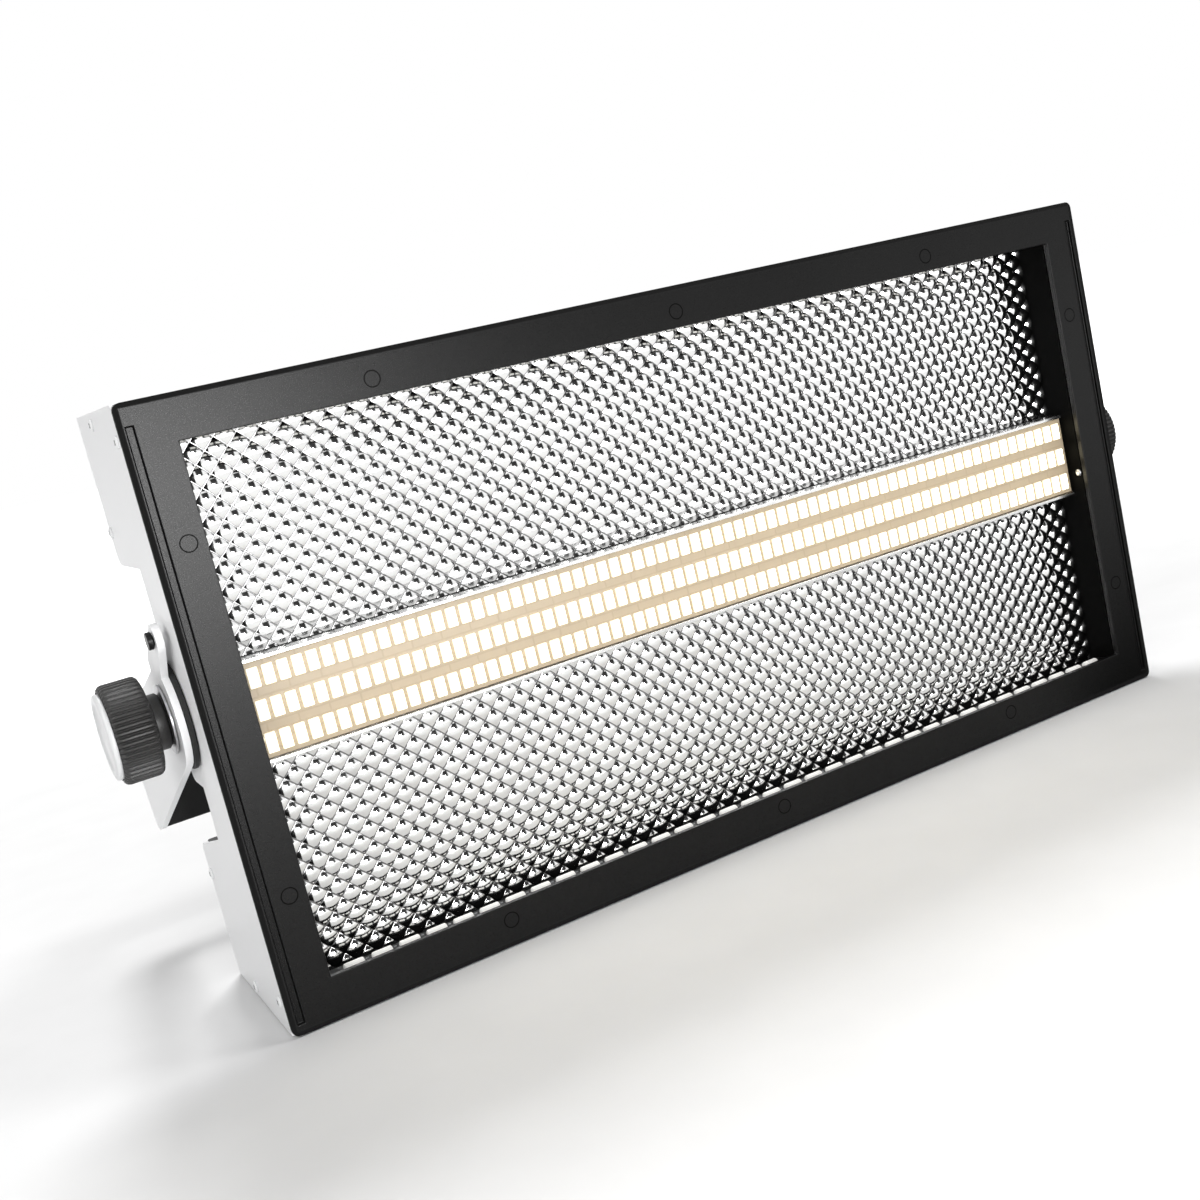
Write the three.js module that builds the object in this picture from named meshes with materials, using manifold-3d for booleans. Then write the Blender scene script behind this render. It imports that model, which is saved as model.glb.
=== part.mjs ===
// LED strobe light with a dimpled reflector, a three-row LED bar and a tilting yoke.
// Millimetres. X is the width, the light shines along -Y, Z is up.
// The origin is the centre of the underside of the bottom cover.

import * as THREE from 'three';
import { mergeVertices } from 'three/addons/utils/BufferGeometryUtils.js';
import Module from 'manifold-3d';

const wasm = await Module();
wasm.setup();

// Housing

const width = 413.4;
const height = 220;
const depth = 83;
const sideSheet = 2;
const coverSheet = 1.6;
const seam = 0.3;
const overrun = 1;
const weld = 0.0001;
const recessHeight = 109.2;
const recessDepth = 38.5;
const stepRound = 5;

// Front frame

const frameThick = 2.6;
const frameRound = 2.6;
const borderSide = 17.4;
const borderTop = 15.8;
const rimWidth = 2.4;
const grooveWidth = 2.5;
const grooveDepth = 1.3;
const grooveHead = 8;
const grooveFoot = 4;

// Ear of the side panel round the pivot, and the gusset at the lower step

const pivotRise = 2.2;
const pivotSetback = 37.5;
const earHalf = 27.5;
const earReach = 18.5;
const earRound = 5;
const gussetRise = 9;
const gussetRun = 6;
const gussetRoot = 1.5;

// Light chamber

const barHalf = 18.5;
const finThick = 1.3;
const finSetback = 9.6;
const ledSetback = 10;
const boardThick = 1.6;
const boardSetback = 12.8;
const barDepth = 14.7;
const stemHalf = 12;
const stemLength = 296;
const rowPitch = 11.6;
const rowTall = 7.2;
const rowInset = 2;
const wallThick = 1.2;
const reflectorSetback = 18;
const reflectorThick = 1;
const reflectorInset = 10.3;
const ledgeThick = 1.2;
const chassisSetback = 36.5;
const chassisSheet = 1.6;
const chassisPlay = 0.6;

// Edge light strips along the top and the bottom of the chamber

const stripThick = 1.6;
const stripDeep = 9;
const stripSetback = 3.5;
const domePitch = 10.53;
const domeInset = 5.5;
const domeLong = 7.4;
const domeDeep = 3.8;
const domeTall = 1.9;

// Cooling

const sinkLength = 296;
const sinkMargin = 8.6;
const sinkBase = 5;
const sinkFin = 13;
const sinkFinThick = 1.6;
const sinkFinPitch = 7.4;
const fanSize = 80;
const fanDeep = 20;
const fanSpacing = 176;
const fanBore = 37.6;
const fanHub = 16;
const fanHubDeep = 12;
const fanMount = 17;
const fanMountDeep = 3;
const fanStrut = 4;
const bladeCount = 7;
const bladeThick = 1.6;
const bladeChord = 17;
const bladeGap = 1.2;
const bladePitch = Math.PI / 5;
const guardThick = 1.2;
const guardWire = 2;
const guardFirst = 12;
const guardPitch = 8;
const guardCount = 4;
const guardLug = 5;

// Electronics

const supplyLength = 220;
const supplyInset = 14.4;
const supplyRearPlay = 4.7;
const supplyTopPlay = 7.6;
const driverSpacing = 27;
const driverInset = 17.4;
const driverRearPlay = 6.7;
const standoffTall = 5;
const standoffRound = 3;
const standoffInset = 5;
const chokeSize = 18;
const chokeSpacingShare = 0.34;
const controlLength = 130;
const controlTopPlay = 2.6;
const controlSetback = 9;

// Rear panel: display, buttons, sockets. The places are shares of the panel's half width.

const powerInletShare = -0.861;
const powerOutletShare = -0.685;
const dataInletShare = 0.577;
const dataOutletShare = 0.753;
const fusePlaceShare = -0.519;
const displayPlaceShare = -0.078;
const buttonFirstShare = 0.157;
const controlPlaceShare = 0.068;
const eyePlaceShare = 0.92;
const displayWide = 62;
const displayTall = 24;
const displayRim = 2.5;
const displayProud = 0.9;
const buttonRound = 4;
const buttonPlay = 0.3;
const buttonProud = 2;
const buttonTravel = 1.2;
const buttonFlange = 5.2;
const buttonFlangeThick = 1;
const buttonPitch = 14;
const buttonCount = 4;
const socketWide = 26;
const socketTall = 31;
const socketFlange = 2.5;
const socketBarrel = 11.5;
const socketBore = 9.5;
const socketDeep = 24;
const socketFloor = 3;
const socketPlay = 0.5;
const latchWide = 7;
const latchTall = 3;
const latchProud = 1.8;
const latchTravel = 1.2;
const latchLift = 12.7;
const latchSeat = 0.6;
const fuseFlange = 9.5;
const fuseFlangeThick = 2;
const fuseBarrel = 7;
const fuseBore = 5.6;
const fuseDeep = 26;
const fuseFloor = 2;
const capRound = 6.6;
const capTall = 5;
const capStem = 5;
const capStemLong = 16;
const capSlotWide = 1.2;
const eyeWide = 16;
const eyeTall = 24;
const eyeThick = 3;
const eyeReach = 14;
const eyeHole = 5;

// Yoke

const restTilt = 19 * Math.PI / 180;
const armGap = 2.3;
const armThick = 2.5;
const armReach = 139;
const armHalf = 23.8;
const armRound = 7;
const headRound = 18.5;
const lobeBack = 9;
const lobeShoulder = 21;
const lobeRound = 5.5;
const lobeLean = 27 * Math.PI / 180;
const neckLean = 30 * Math.PI / 180;
const stopUp = 30;
const stopFront = 17.5;
const stopHead = 3.1;
const stopHeadTall = 1.9;
const stopShank = 1.7;
const barSheet = 2.5;
const crossHalf = 22.5;
const tabLength = 12;
const tabInset = 4;
const clampHole = 6.5;
const sideHole = 5.25;
const sideHolePlace = 70;

// Pivot and knobs

const discRound = 19.5;
const studRound = 4;
const studPlay = 0.3;
const studHead = 8;
const studHeadTall = 5;
const studReach = 14.5;
const washerRound = 12.5;
const washerThick = 0.9;
const neckRound = 10;
const neckLong = 4.7;
const knobRound = 17.8;
const knobLong = 13.8;
const fluteCount = 36;
const fluteDeep = 0.9;
const fluteFlatShare = 0.55;
const boreSpare = 0.8;
const capDisc = 15.6;
const capDiscThick = 1.6;

// Facet counts

const cornerSteps = 4;
const hexSides = 6;
const quarters = 4;
const fewSteps = 12;
const roundSteps = 20;
const wideSteps = 28;
const arcSteps = 4;

// Derived places, shared by several pieces

const frontY = -depth / 2;
const rearY = depth / 2;
const centreZ = height / 2;
const behindFrameY = frontY + frameThick + seam;
const sideInnerX = width / 2 - sideSheet;
const coverHalf = sideInnerX - seam;
const chamberHalf = width / 2 - borderSide;
const chassisY = frontY + chassisSetback;
const chassisRearY = chassisY + chassisSheet;
const panelInnerY = rearY - coverSheet;
const pivotY = frontY + pivotSetback;
const pivotHeight = centreZ + pivotRise;
const bayHeight = (height - recessHeight) / 2;
const bayFloorZ = height - bayHeight;
const bayClear = bayHeight - 2 * (coverSheet + seam);
const upperPanelZ = height - bayHeight / 2;
const armOuterX = width / 2 + armGap + armThick;
const reflectorReach = height / 2 - reflectorInset;
const stripTopZ = centreZ - reflectorReach + ledgeThick + seam;
const sides = { left: -1, right: 1 };
const dataOutletPlace = dataOutletShare * coverHalf;
const powerPlaces = [['power_inlet', powerInletShare * coverHalf], ['power_outlet', powerOutletShare * coverHalf]];
const dataPlaces = [['dmx_in', dataInletShare * coverHalf], ['dmx_out', dataOutletPlace]];
const fusePlace = fusePlaceShare * coverHalf;
const displayPlace = displayPlaceShare * coverHalf;
const buttonFirst = buttonFirstShare * coverHalf;
const eyePlace = eyePlaceShare * coverHalf;

// Geometry helpers

function points(list) {
  return list.map(([x, y]) => new THREE.Vector2(x, y));
}

function circle(radius, steps, x = 0, y = 0) {
  const list = [];
  for (let i = 0; i < steps; i += 1) {
    const angle = i * 2 * Math.PI / steps;
    list.push([x + radius * Math.cos(angle), y + radius * Math.sin(angle)]);
  }
  return list;
}

// Outline with each corner [x, y, radius] rounded by an arc
function rounded(corners) {
  const list = [];
  corners.forEach(([x, y, radius], i) => {
    const before = corners[(i + corners.length - 1) % corners.length];
    const after = corners[(i + 1) % corners.length];
    if (!radius) {
      list.push([x, y]);
      return;
    }
    const corner = new THREE.Vector2(x, y);
    const a = new THREE.Vector2(before[0], before[1]).sub(corner).normalize();
    const b = new THREE.Vector2(after[0], after[1]).sub(corner).normalize();
    const half = Math.acos(a.dot(b)) / 2;
    const reach = radius / Math.tan(half);
    const centre = corner.clone().add(a.clone().add(b).normalize().multiplyScalar(radius / Math.sin(half)));
    const start = corner.clone().addScaledVector(a, reach).sub(centre);
    const turn = (a.x * b.y - a.y * b.x > 0 ? -1 : 1) * (Math.PI - 2 * half);
    for (let k = 0; k <= cornerSteps; k += 1) {
      const point = start.clone().rotateAround(new THREE.Vector2(0, 0), turn * k / cornerSteps).add(centre);
      list.push([point.x, point.y]);
    }
  });
  return list;
}

function rectangle(w, h, radius = 0) {
  const x = w / 2;
  const y = h / 2;
  return rounded([[-x, -y, radius], [x, -y, radius], [x, y, radius], [-x, y, radius]]);
}

// Flat plate in the XY plane, centred in its thickness
function plate(outline, thickness, holes = []) {
  const shape = new THREE.Shape(points(outline));
  holes.forEach((hole) => shape.holes.push(new THREE.Path(points(hole))));
  const geometry = new THREE.ExtrudeGeometry(shape, { depth: thickness, bevelEnabled: false });
  return geometry.translate(0, 0, -thickness / 2);
}

// Turns a plate so that its outline's x, y become the part's x, z
function standing(geometry) {
  return geometry.rotateX(Math.PI / 2);
}

// Turns a plate so that its outline's x, y become the part's y, z
function sideways(geometry) {
  const turn = new THREE.Matrix4();
  turn.makeBasis(new THREE.Vector3(0, 1, 0), new THREE.Vector3(0, 0, 1), new THREE.Vector3(1, 0, 0));
  return geometry.applyMatrix4(turn);
}

function block(x0, x1, y0, y1, z0, z1) {
  const geometry = new THREE.BoxGeometry(x1 - x0, y1 - y0, z1 - z0);
  return geometry.translate((x0 + x1) / 2, (y0 + y1) / 2, (z0 + z1) / 2);
}

function rodX(radius, x0, x1, steps = roundSteps) {
  const geometry = new THREE.CylinderGeometry(radius, radius, x1 - x0, steps).rotateZ(Math.PI / 2);
  return geometry.translate((x0 + x1) / 2, 0, 0);
}

function rodY(radius, y0, y1, steps = roundSteps) {
  const geometry = new THREE.CylinderGeometry(radius, radius, y1 - y0, steps);
  return geometry.translate(0, (y0 + y1) / 2, 0);
}

function rodZ(radius, z0, z1, steps = roundSteps) {
  const geometry = new THREE.CylinderGeometry(radius, radius, z1 - z0, steps).rotateX(Math.PI / 2);
  return geometry.translate(0, 0, (z0 + z1) / 2);
}

function toSolid(geometry) {
  const bare = geometry.clone();
  bare.deleteAttribute('normal');
  bare.deleteAttribute('uv');
  const merged = mergeVertices(bare, weld);
  const vertProperties = new Float32Array(merged.attributes.position.array);
  const triVerts = new Uint32Array(merged.index.array);
  return new wasm.Manifold(new wasm.Mesh({ numProp: 3, vertProperties, triVerts }));
}

function toGeometry(solid) {
  const mesh = solid.getMesh();
  const geometry = new THREE.BufferGeometry();
  geometry.setAttribute('position', new THREE.BufferAttribute(mesh.vertProperties, 3));
  geometry.setIndex(new THREE.BufferAttribute(mesh.triVerts, 1));
  return geometry;
}

function join(first, ...rest) {
  return toGeometry(rest.reduce((solid, other) => solid.add(toSolid(other)), toSolid(first)));
}

function cut(first, ...rest) {
  return toGeometry(rest.reduce((solid, other) => solid.subtract(toSolid(other)), toSolid(first)));
}

// Finishes, one new material for each mesh

const finishes = {
  blackPaint: [0x2b2b2c, 0.55, 0.1],
  palePaint: [0xdedfdf, 0.5, 0.1],
  blackSatin: [0x161617, 0.45, 0.1],
  polished: [0xe9eaea, 0.15, 1],
  alloy: [0xb9bbbd, 0.4, 1],
  steel: [0xa8aaac, 0.35, 1],
  board: [0xe6dccb, 0.6, 0],
  greenBoard: [0x1f4a33, 0.6, 0],
  light: [0xfff3d2, 0.4, 0],
  plastic: [0x1a1a1b, 0.5, 0],
  blue: [0x2a5c9a, 0.5, 0],
  grey: [0x8e9194, 0.5, 0],
  glass: [0x0b0f14, 0.1, 0],
  rubber: [0x141414, 0.8, 0],
};

const lamp = new THREE.Group();

function place(parent, name, geometry, finish, position = [0, 0, 0], rotation = [0, 0, 0]) {
  const [color, roughness, metalness] = finishes[finish];
  const mesh = new THREE.Mesh(geometry, new THREE.MeshStandardMaterial({ color, roughness, metalness }));
  mesh.name = name;
  mesh.position.set(...position);
  mesh.rotation.set(...rotation);
  parent.add(mesh);
  return mesh;
}

// Front frame: one pressed plate with a groove beside each end rim

function frontFrame() {
  const opening = rectangle(2 * chamberHalf, height - 2 * borderTop);
  const outline = rectangle(width, height, frameRound);
  const plain = standing(plate(outline, frameThick, [opening]));
  plain.translate(0, frontY + frameThick / 2, centreZ);
  const grooveX = width / 2 - rimWidth;
  const grooves = Object.values(sides).map((side) => {
    const near = side * grooveX;
    const far = side * (grooveX - grooveWidth);
    const low = Math.min(near, far);
    const high = Math.max(near, far);
    return block(low, high, frontY - overrun, frontY + grooveDepth, grooveFoot, height - grooveHead);
  });
  place(lamp, 'front_frame', cut(plain, ...grooves), 'blackPaint');
}

// Side panel: deep at the top and the bottom, cut back between, with an ear round the pivot

function sideOutline() {
  const recessY = frontY + recessDepth;
  const earY = pivotY + earReach;
  const gussetTopZ = bayHeight + gussetRise;
  return rounded([
    [behindFrameY, 0, 0],
    [rearY, 0, 0],
    [rearY, bayHeight, stepRound],
    [rearY - gussetRun, bayHeight, 0],
    [recessY + gussetRoot, gussetTopZ, 0],
    [recessY, gussetTopZ + gussetRun, 0],
    [recessY, pivotHeight - earHalf, 0],
    [earY, pivotHeight - earHalf, earRound],
    [earY, pivotHeight + earHalf, earRound],
    [recessY, pivotHeight + earHalf, 0],
    [recessY, bayFloorZ, 0],
    [rearY, bayFloorZ, stepRound],
    [rearY, height, 0],
    [behindFrameY, height, 0],
  ]);
}

function sidePanels() {
  Object.entries(sides).forEach(([word, side]) => {
    const studHole = circle(studRound + studPlay, roundSteps, pivotY, pivotHeight);
    const panel = sideways(plate(sideOutline(), sideSheet, [studHole]));
    place(lamp, `side_panel_${word}`, panel, 'palePaint', [side * (width - sideSheet) / 2, 0, 0]);
  });
}

// Covers and the walls of the two bays

function covers() {
  const top = block(-coverHalf, coverHalf, behindFrameY, rearY, height - coverSheet, height);
  place(lamp, 'top_cover', top, 'blackPaint');
  const bottom = block(-coverHalf, coverHalf, behindFrameY, rearY, 0, coverSheet);
  place(lamp, 'bottom_cover', bottom, 'blackPaint');
  const front = chassisRearY + seam;
  const rear = panelInnerY - seam;
  const floor = block(-coverHalf, coverHalf, front, rear, bayFloorZ, bayFloorZ + coverSheet);
  place(lamp, 'bay_floor_upper', floor, 'blackPaint');
  const roof = block(-coverHalf, coverHalf, front, rear, bayHeight - coverSheet, bayHeight);
  place(lamp, 'bay_roof_lower', roof, 'blackPaint');
}

function upperPanel() {
  const holes = [];
  const low = bayFloorZ + coverSheet / 2;
  const high = height - coverSheet - seam;
  const middle = (low + high) / 2;
  const lift = upperPanelZ - middle;
  powerPlaces.concat(dataPlaces).forEach(([, x]) => {
    holes.push(circle(socketBarrel + socketPlay, roundSteps, x, lift));
  });
  holes.push(circle(fuseBarrel + socketPlay, roundSteps, fusePlace, lift));
  for (let i = 0; i < buttonCount; i += 1) {
    holes.push(circle(buttonRound + buttonPlay, roundSteps, buttonFirst + i * buttonPitch, lift));
  }
  const halfWide = displayWide / 2 - displayRim + socketPlay;
  const halfTall = displayTall / 2 - displayRim + socketPlay;
  holes.push([
    [displayPlace - halfWide, lift - halfTall],
    [displayPlace + halfWide, lift - halfTall],
    [displayPlace + halfWide, lift + halfTall],
    [displayPlace - halfWide, lift + halfTall],
  ]);
  const panel = standing(plate(rectangle(2 * coverHalf, high - low), coverSheet, holes));
  place(lamp, 'rear_panel_upper', panel, 'blackPaint', [0, rearY - coverSheet / 2, middle]);
}

function lowerPanel() {
  const low = coverSheet + seam;
  const high = bayHeight - coverSheet / 2;
  const panel = block(-coverHalf, coverHalf, panelInnerY, rearY, low, high);
  place(lamp, 'rear_panel_lower', panel, 'blackPaint');
}

function chassis() {
  const low = coverSheet + seam;
  const window = rectangle(stemLength + 2 * seam, 2 * stemHalf + 2 * seam);
  const outline = rectangle(2 * coverHalf, height - 2 * low);
  const plain = standing(plate(outline, chassisSheet, [window]));
  const notchInner = sideInnerX - seam - studHeadTall - chassisPlay;
  const notchHalf = studHead + chassisPlay;
  const notchZ = pivotHeight - centreZ;
  const notches = Object.values(sides).map((side) => {
    const low = Math.min(side * notchInner, side * (sideInnerX + overrun));
    const high = Math.max(side * notchInner, side * (sideInnerX + overrun));
    return block(low, high, -chassisSheet, chassisSheet, notchZ - notchHalf, notchZ + notchHalf);
  });
  const middleY = chassisY + chassisSheet / 2;
  place(lamp, 'inner_chassis', cut(plain, ...notches), 'blackPaint', [0, middleY, centreZ]);
}

// Light chamber

function endWalls() {
  Object.entries(sides).forEach(([word, side]) => {
    const halfThick = wallThick / 2;
    const half = reflectorReach + ledgeThick;
    const wall = block(-halfThick, halfThick, behindFrameY, chassisY - seam, -half, half);
    place(lamp, `end_wall_${word}`, wall, 'blackSatin', [side * (chamberHalf + halfThick), 0, centreZ]);
  });
}

function reflectors() {
  const half = chamberHalf - seam;
  const backY = frontY + reflectorSetback;
  const rearFace = backY + reflectorThick;
  const inner = barHalf + seam;
  const ledgeStart = reflectorReach - ledgeThick;
  const upper = join(
    block(-half, half, backY, rearFace, inner, reflectorReach),
    block(-half, half, behindFrameY, rearFace, ledgeStart, reflectorReach),
  );
  place(lamp, 'reflector_upper', upper, 'polished', [0, 0, centreZ]);
  const lower = join(
    block(-half, half, backY, rearFace, -reflectorReach, -inner),
    block(-half, half, behindFrameY, rearFace, -reflectorReach, -ledgeStart),
  );
  place(lamp, 'reflector_lower', lower, 'polished', [0, 0, centreZ]);
}

// Strip of small lenses along one long edge, facing the middle of the chamber
function edgeStrips() {
  const half = chamberHalf - 2 * seam;
  const backY = stripSetback + stripDeep;
  const middleY = stripSetback + stripDeep / 2;
  const domes = [];
  const domeCount = Math.floor((2 * (half - domeInset) - domeLong) / domePitch) + 1;
  for (let i = 0; i < domeCount; i += 1) {
    const x = (i - (domeCount - 1) / 2) * domePitch;
    const near = middleY - domeDeep / 2;
    const far = near + domeDeep;
    domes.push(block(x - domeLong / 2, x + domeLong / 2, near, far, stripThick / 2, stripThick + domeTall));
  }
  const lower = join(block(-half, half, stripSetback, backY, 0, stripThick), ...domes);
  place(lamp, 'edge_led_strip_lower', lower, 'light', [0, frontY, stripTopZ]);
  const upper = lower.clone().rotateY(Math.PI);
  place(lamp, 'edge_led_strip_upper', upper, 'light', [0, frontY, height - stripTopZ]);
}

// LED bar: a channel section with a fin at the top and the bottom, and a stem to the heat sink
function ledBar() {
  const half = chamberHalf - seam;
  const seatY = frontY + boardSetback + seam;
  const tipY = frontY + finSetback;
  const backY = frontY + boardSetback + barDepth;
  const section = [
    [tipY, -barHalf],
    [backY, -barHalf],
    [backY, barHalf],
    [tipY, barHalf],
    [tipY, barHalf - finThick],
    [seatY, barHalf - finThick],
    [seatY, finThick - barHalf],
    [tipY, finThick - barHalf],
  ];
  const bar = sideways(plate(section, 2 * half));
  const stemEnd = chassisRearY;
  const stem = block(-stemLength / 2, stemLength / 2, backY - overrun, stemEnd, -stemHalf, stemHalf);
  place(lamp, 'led_core', join(bar, stem), 'alloy', [0, 0, centreZ]);
  const boardHalf = barHalf - finThick - seam;
  const boardRear = frontY + boardSetback;
  const board = block(-half, half, boardRear - boardThick, boardRear, -boardHalf, boardHalf);
  const rowFront = frontY + ledSetback;
  const rowRear = boardRear - boardThick / 2;
  const rowHalf = half - rowInset;
  const rows = [-1, 0, 1].map((row) => {
    const z = row * rowPitch;
    return block(-rowHalf, rowHalf, rowFront, rowRear, z - rowTall / 2, z + rowTall / 2);
  });
  place(lamp, 'led_board', join(board, ...rows), 'board', [0, 0, centreZ]);
}

// Cooling: a finned heat sink in the rear recess and two fans behind it

function heatSink() {
  const finCount = Math.floor((sinkLength - sinkFinThick) / sinkFinPitch) + 1;
  const span = (finCount - 1) * sinkFinPitch + sinkFinThick;
  const top = sinkBase + sinkFin;
  const comb = [[-span / 2, 0], [span / 2, 0]];
  for (let i = finCount - 1; i >= 0; i -= 1) {
    const left = i * sinkFinPitch - span / 2;
    comb.push([left + sinkFinThick, top], [left, top]);
    if (i > 0) {
      comb.push([left, sinkBase], [left - sinkFinPitch + sinkFinThick, sinkBase]);
    }
  }
  const sinkHeight = recessHeight - 2 * sinkMargin;
  place(lamp, 'heat_sink', plate(comb, sinkHeight), 'alloy', [0, chassisRearY + seam, centreZ]);
}

function fanFrame() {
  const body = standing(plate(rectangle(fanSize, fanSize, stepRound), fanDeep));
  const opening = rodY(fanBore, -fanDeep / 2 - overrun, fanDeep / 2 + overrun, wideSteps);
  const mountFront = fanDeep / 2 - fanMountDeep;
  const mount = rodY(fanMount, mountFront, fanDeep / 2);
  const reach = fanBore + overrun;
  const along = block(-reach, reach, mountFront, fanDeep / 2, -fanStrut / 2, fanStrut / 2);
  const across = block(-fanStrut / 2, fanStrut / 2, mountFront, fanDeep / 2, -reach, reach);
  return join(cut(body, opening), mount, along, across);
}

function fanRotor() {
  const hubEnd = fanDeep / 2 - fanMountDeep - seam;
  const hub = rodY(fanHub, hubEnd - fanHubDeep, hubEnd);
  const bladeReach = fanBore - bladeGap;
  const blades = [];
  for (let i = 0; i < bladeCount; i += 1) {
    const halfThick = bladeThick / 2;
    const halfChord = bladeChord / 2;
    const blade = block(fanHub - overrun, bladeReach, -halfThick, halfThick, -halfChord, halfChord);
    blade.rotateX(bladePitch).translate(0, hubEnd - fanHubDeep / 2, 0);
    blades.push(blade.rotateY(i * 2 * Math.PI / bladeCount));
  }
  return join(hub, ...blades);
}

function fanGuard() {
  const holes = [];
  for (let i = 0; i + 1 < guardCount; i += 1) {
    const inner = guardFirst + i * guardPitch + guardWire / 2;
    const outer = guardFirst + (i + 1) * guardPitch - guardWire / 2;
    for (let quarter = 0; quarter < quarters; quarter += 1) {
      const list = [];
      [outer, inner].forEach((radius, k) => {
        const gap = Math.asin(guardWire / 2 / radius);
        const from = quarter * Math.PI / 2 + gap;
        const to = (quarter + 1) * Math.PI / 2 - gap;
        for (let step = 0; step <= arcSteps; step += 1) {
          const share = k === 0 ? step / arcSteps : 1 - step / arcSteps;
          const angle = from + (to - from) * share;
          list.push([radius * Math.cos(angle), radius * Math.sin(angle)]);
        }
      });
      holes.push(list);
    }
  }
  const outer = guardFirst + (guardCount - 1) * guardPitch + guardWire / 2;
  const ring = standing(plate(circle(outer, wideSteps), guardThick, holes));
  const lugs = [];
  const lugReach = fanSize / 2 * Math.SQRT2 - guardLug;
  for (let quarter = 0; quarter < quarters; quarter += 1) {
    const halfThick = guardThick / 2;
    const lug = block(outer - guardWire, lugReach, -halfThick, halfThick, -guardLug / 2, guardLug / 2);
    lugs.push(lug.rotateY(Math.PI / 4 + quarter * Math.PI / 2));
  }
  return join(ring, ...lugs);
}

function fans() {
  const fanY = chassisRearY + seam + sinkBase + sinkFin + seam + fanDeep / 2;
  Object.entries(sides).forEach(([word, side]) => {
    const at = [side * fanSpacing / 2, fanY, centreZ];
    place(lamp, `fan_frame_${word}`, fanFrame(), 'plastic', at);
    place(lamp, `fan_rotor_${word}`, fanRotor(), 'plastic', at);
    const guardAt = [at[0], fanY + fanDeep / 2 + seam + guardThick / 2, centreZ];
    place(lamp, `fan_guard_${word}`, fanGuard(), 'steel', guardAt);
  });
}

// Electronics in the two bays

function electronics() {
  const frontEdge = chassisRearY + seam;
  const rearEdge = panelInnerY - seam;
  const left = supplyInset - coverHalf;
  const floorZ = coverSheet + seam;
  const right = left + supplyLength;
  const supplyTop = floorZ + bayClear - supplyTopPlay;
  const supply = block(left, right, frontEdge, rearEdge - supplyRearPlay, floorZ, supplyTop);
  place(lamp, 'power_supply', supply, 'alloy');
  const driverLeft = right + driverSpacing;
  const driverRight = coverHalf - driverInset;
  const driverLength = driverRight - driverLeft;
  const driverDeep = rearEdge - driverRearPlay - frontEdge;
  const halfLong = driverLength / 2;
  const boardZ = floorZ + standoffTall;
  const board = block(-halfLong, halfLong, frontEdge, frontEdge + driverDeep, boardZ, boardZ + boardThick);
  const added = [];
  [-1, 1].forEach((x) => {
    [frontEdge + standoffInset, frontEdge + driverDeep - standoffInset].forEach((y) => {
      const post = rodZ(standoffRound, floorZ, boardZ + boardThick / 2, fewSteps);
      added.push(post.translate(x * (halfLong - standoffInset), y, 0));
    });
    const chokeX = x * chokeSpacingShare * driverLength / 2;
    const chokeY = frontEdge + driverDeep / 2;
    const half = chokeSize / 2;
    const low = boardZ + boardThick / 2;
    added.push(block(chokeX - half, chokeX + half, chokeY - half, chokeY + half, low, low + chokeSize));
  });
  place(lamp, 'driver_board', join(board, ...added), 'greenBoard', [(driverLeft + driverRight) / 2, 0, 0]);
  const controlY = panelInnerY - controlSetback;
  const controlZ = bayFloorZ + coverSheet + seam;
  const half = controlLength / 2;
  const controlTop = controlZ + bayClear - controlTopPlay;
  const control = block(-half, half, controlY - boardThick, controlY, controlZ, controlTop);
  place(lamp, 'control_board', control, 'greenBoard', [controlPlaceShare * coverHalf, 0, 0]);
}

// Rear panel pieces

function display() {
  const halfWide = displayWide / 2 - displayRim;
  const halfTall = displayTall / 2 - displayRim;
  const bodyFront = panelInnerY - controlSetback + seam;
  const bezelY = rearY + seam;
  const body = block(-halfWide, halfWide, bodyFront, bezelY + displayProud / 2, -halfTall, halfTall);
  const bezel = standing(plate(rectangle(displayWide, displayTall, displayRim), displayProud));
  bezel.translate(0, bezelY + displayProud / 2, 0);
  place(lamp, 'display_window', join(body, bezel), 'glass', [displayPlace, 0, upperPanelZ]);
}

function buttons() {
  for (let i = 0; i < buttonCount; i += 1) {
    const flangeEnd = panelInnerY - seam;
    const flange = rodY(buttonFlange, flangeEnd - buttonFlangeThick, flangeEnd, fewSteps);
    const stemEnd = panelInnerY - controlSetback + seam + buttonTravel;
    const button = join(rodY(buttonRound, stemEnd, rearY + buttonProud, fewSteps), flange);
    place(lamp, `menu_button_${i + 1}`, button, 'plastic', [buttonFirst + i * buttonPitch, 0, upperPanelZ]);
  }
}

// Cup behind a square flange, open to the rear
function socket(extraCut) {
  const flangeY = rearY + seam;
  const barrelEnd = flangeY + socketFlange;
  const flange = standing(plate(rectangle(socketWide, socketTall, displayRim), socketFlange));
  flange.translate(0, flangeY + socketFlange / 2, 0);
  const barrel = rodY(socketBarrel, barrelEnd - socketDeep, barrelEnd - socketFlange / 2);
  const bore = rodY(socketBore, barrelEnd - socketDeep + socketFloor, barrelEnd + overrun);
  const solid = cut(join(flange, barrel), bore);
  return extraCut ? cut(solid, extraCut) : solid;
}

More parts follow.
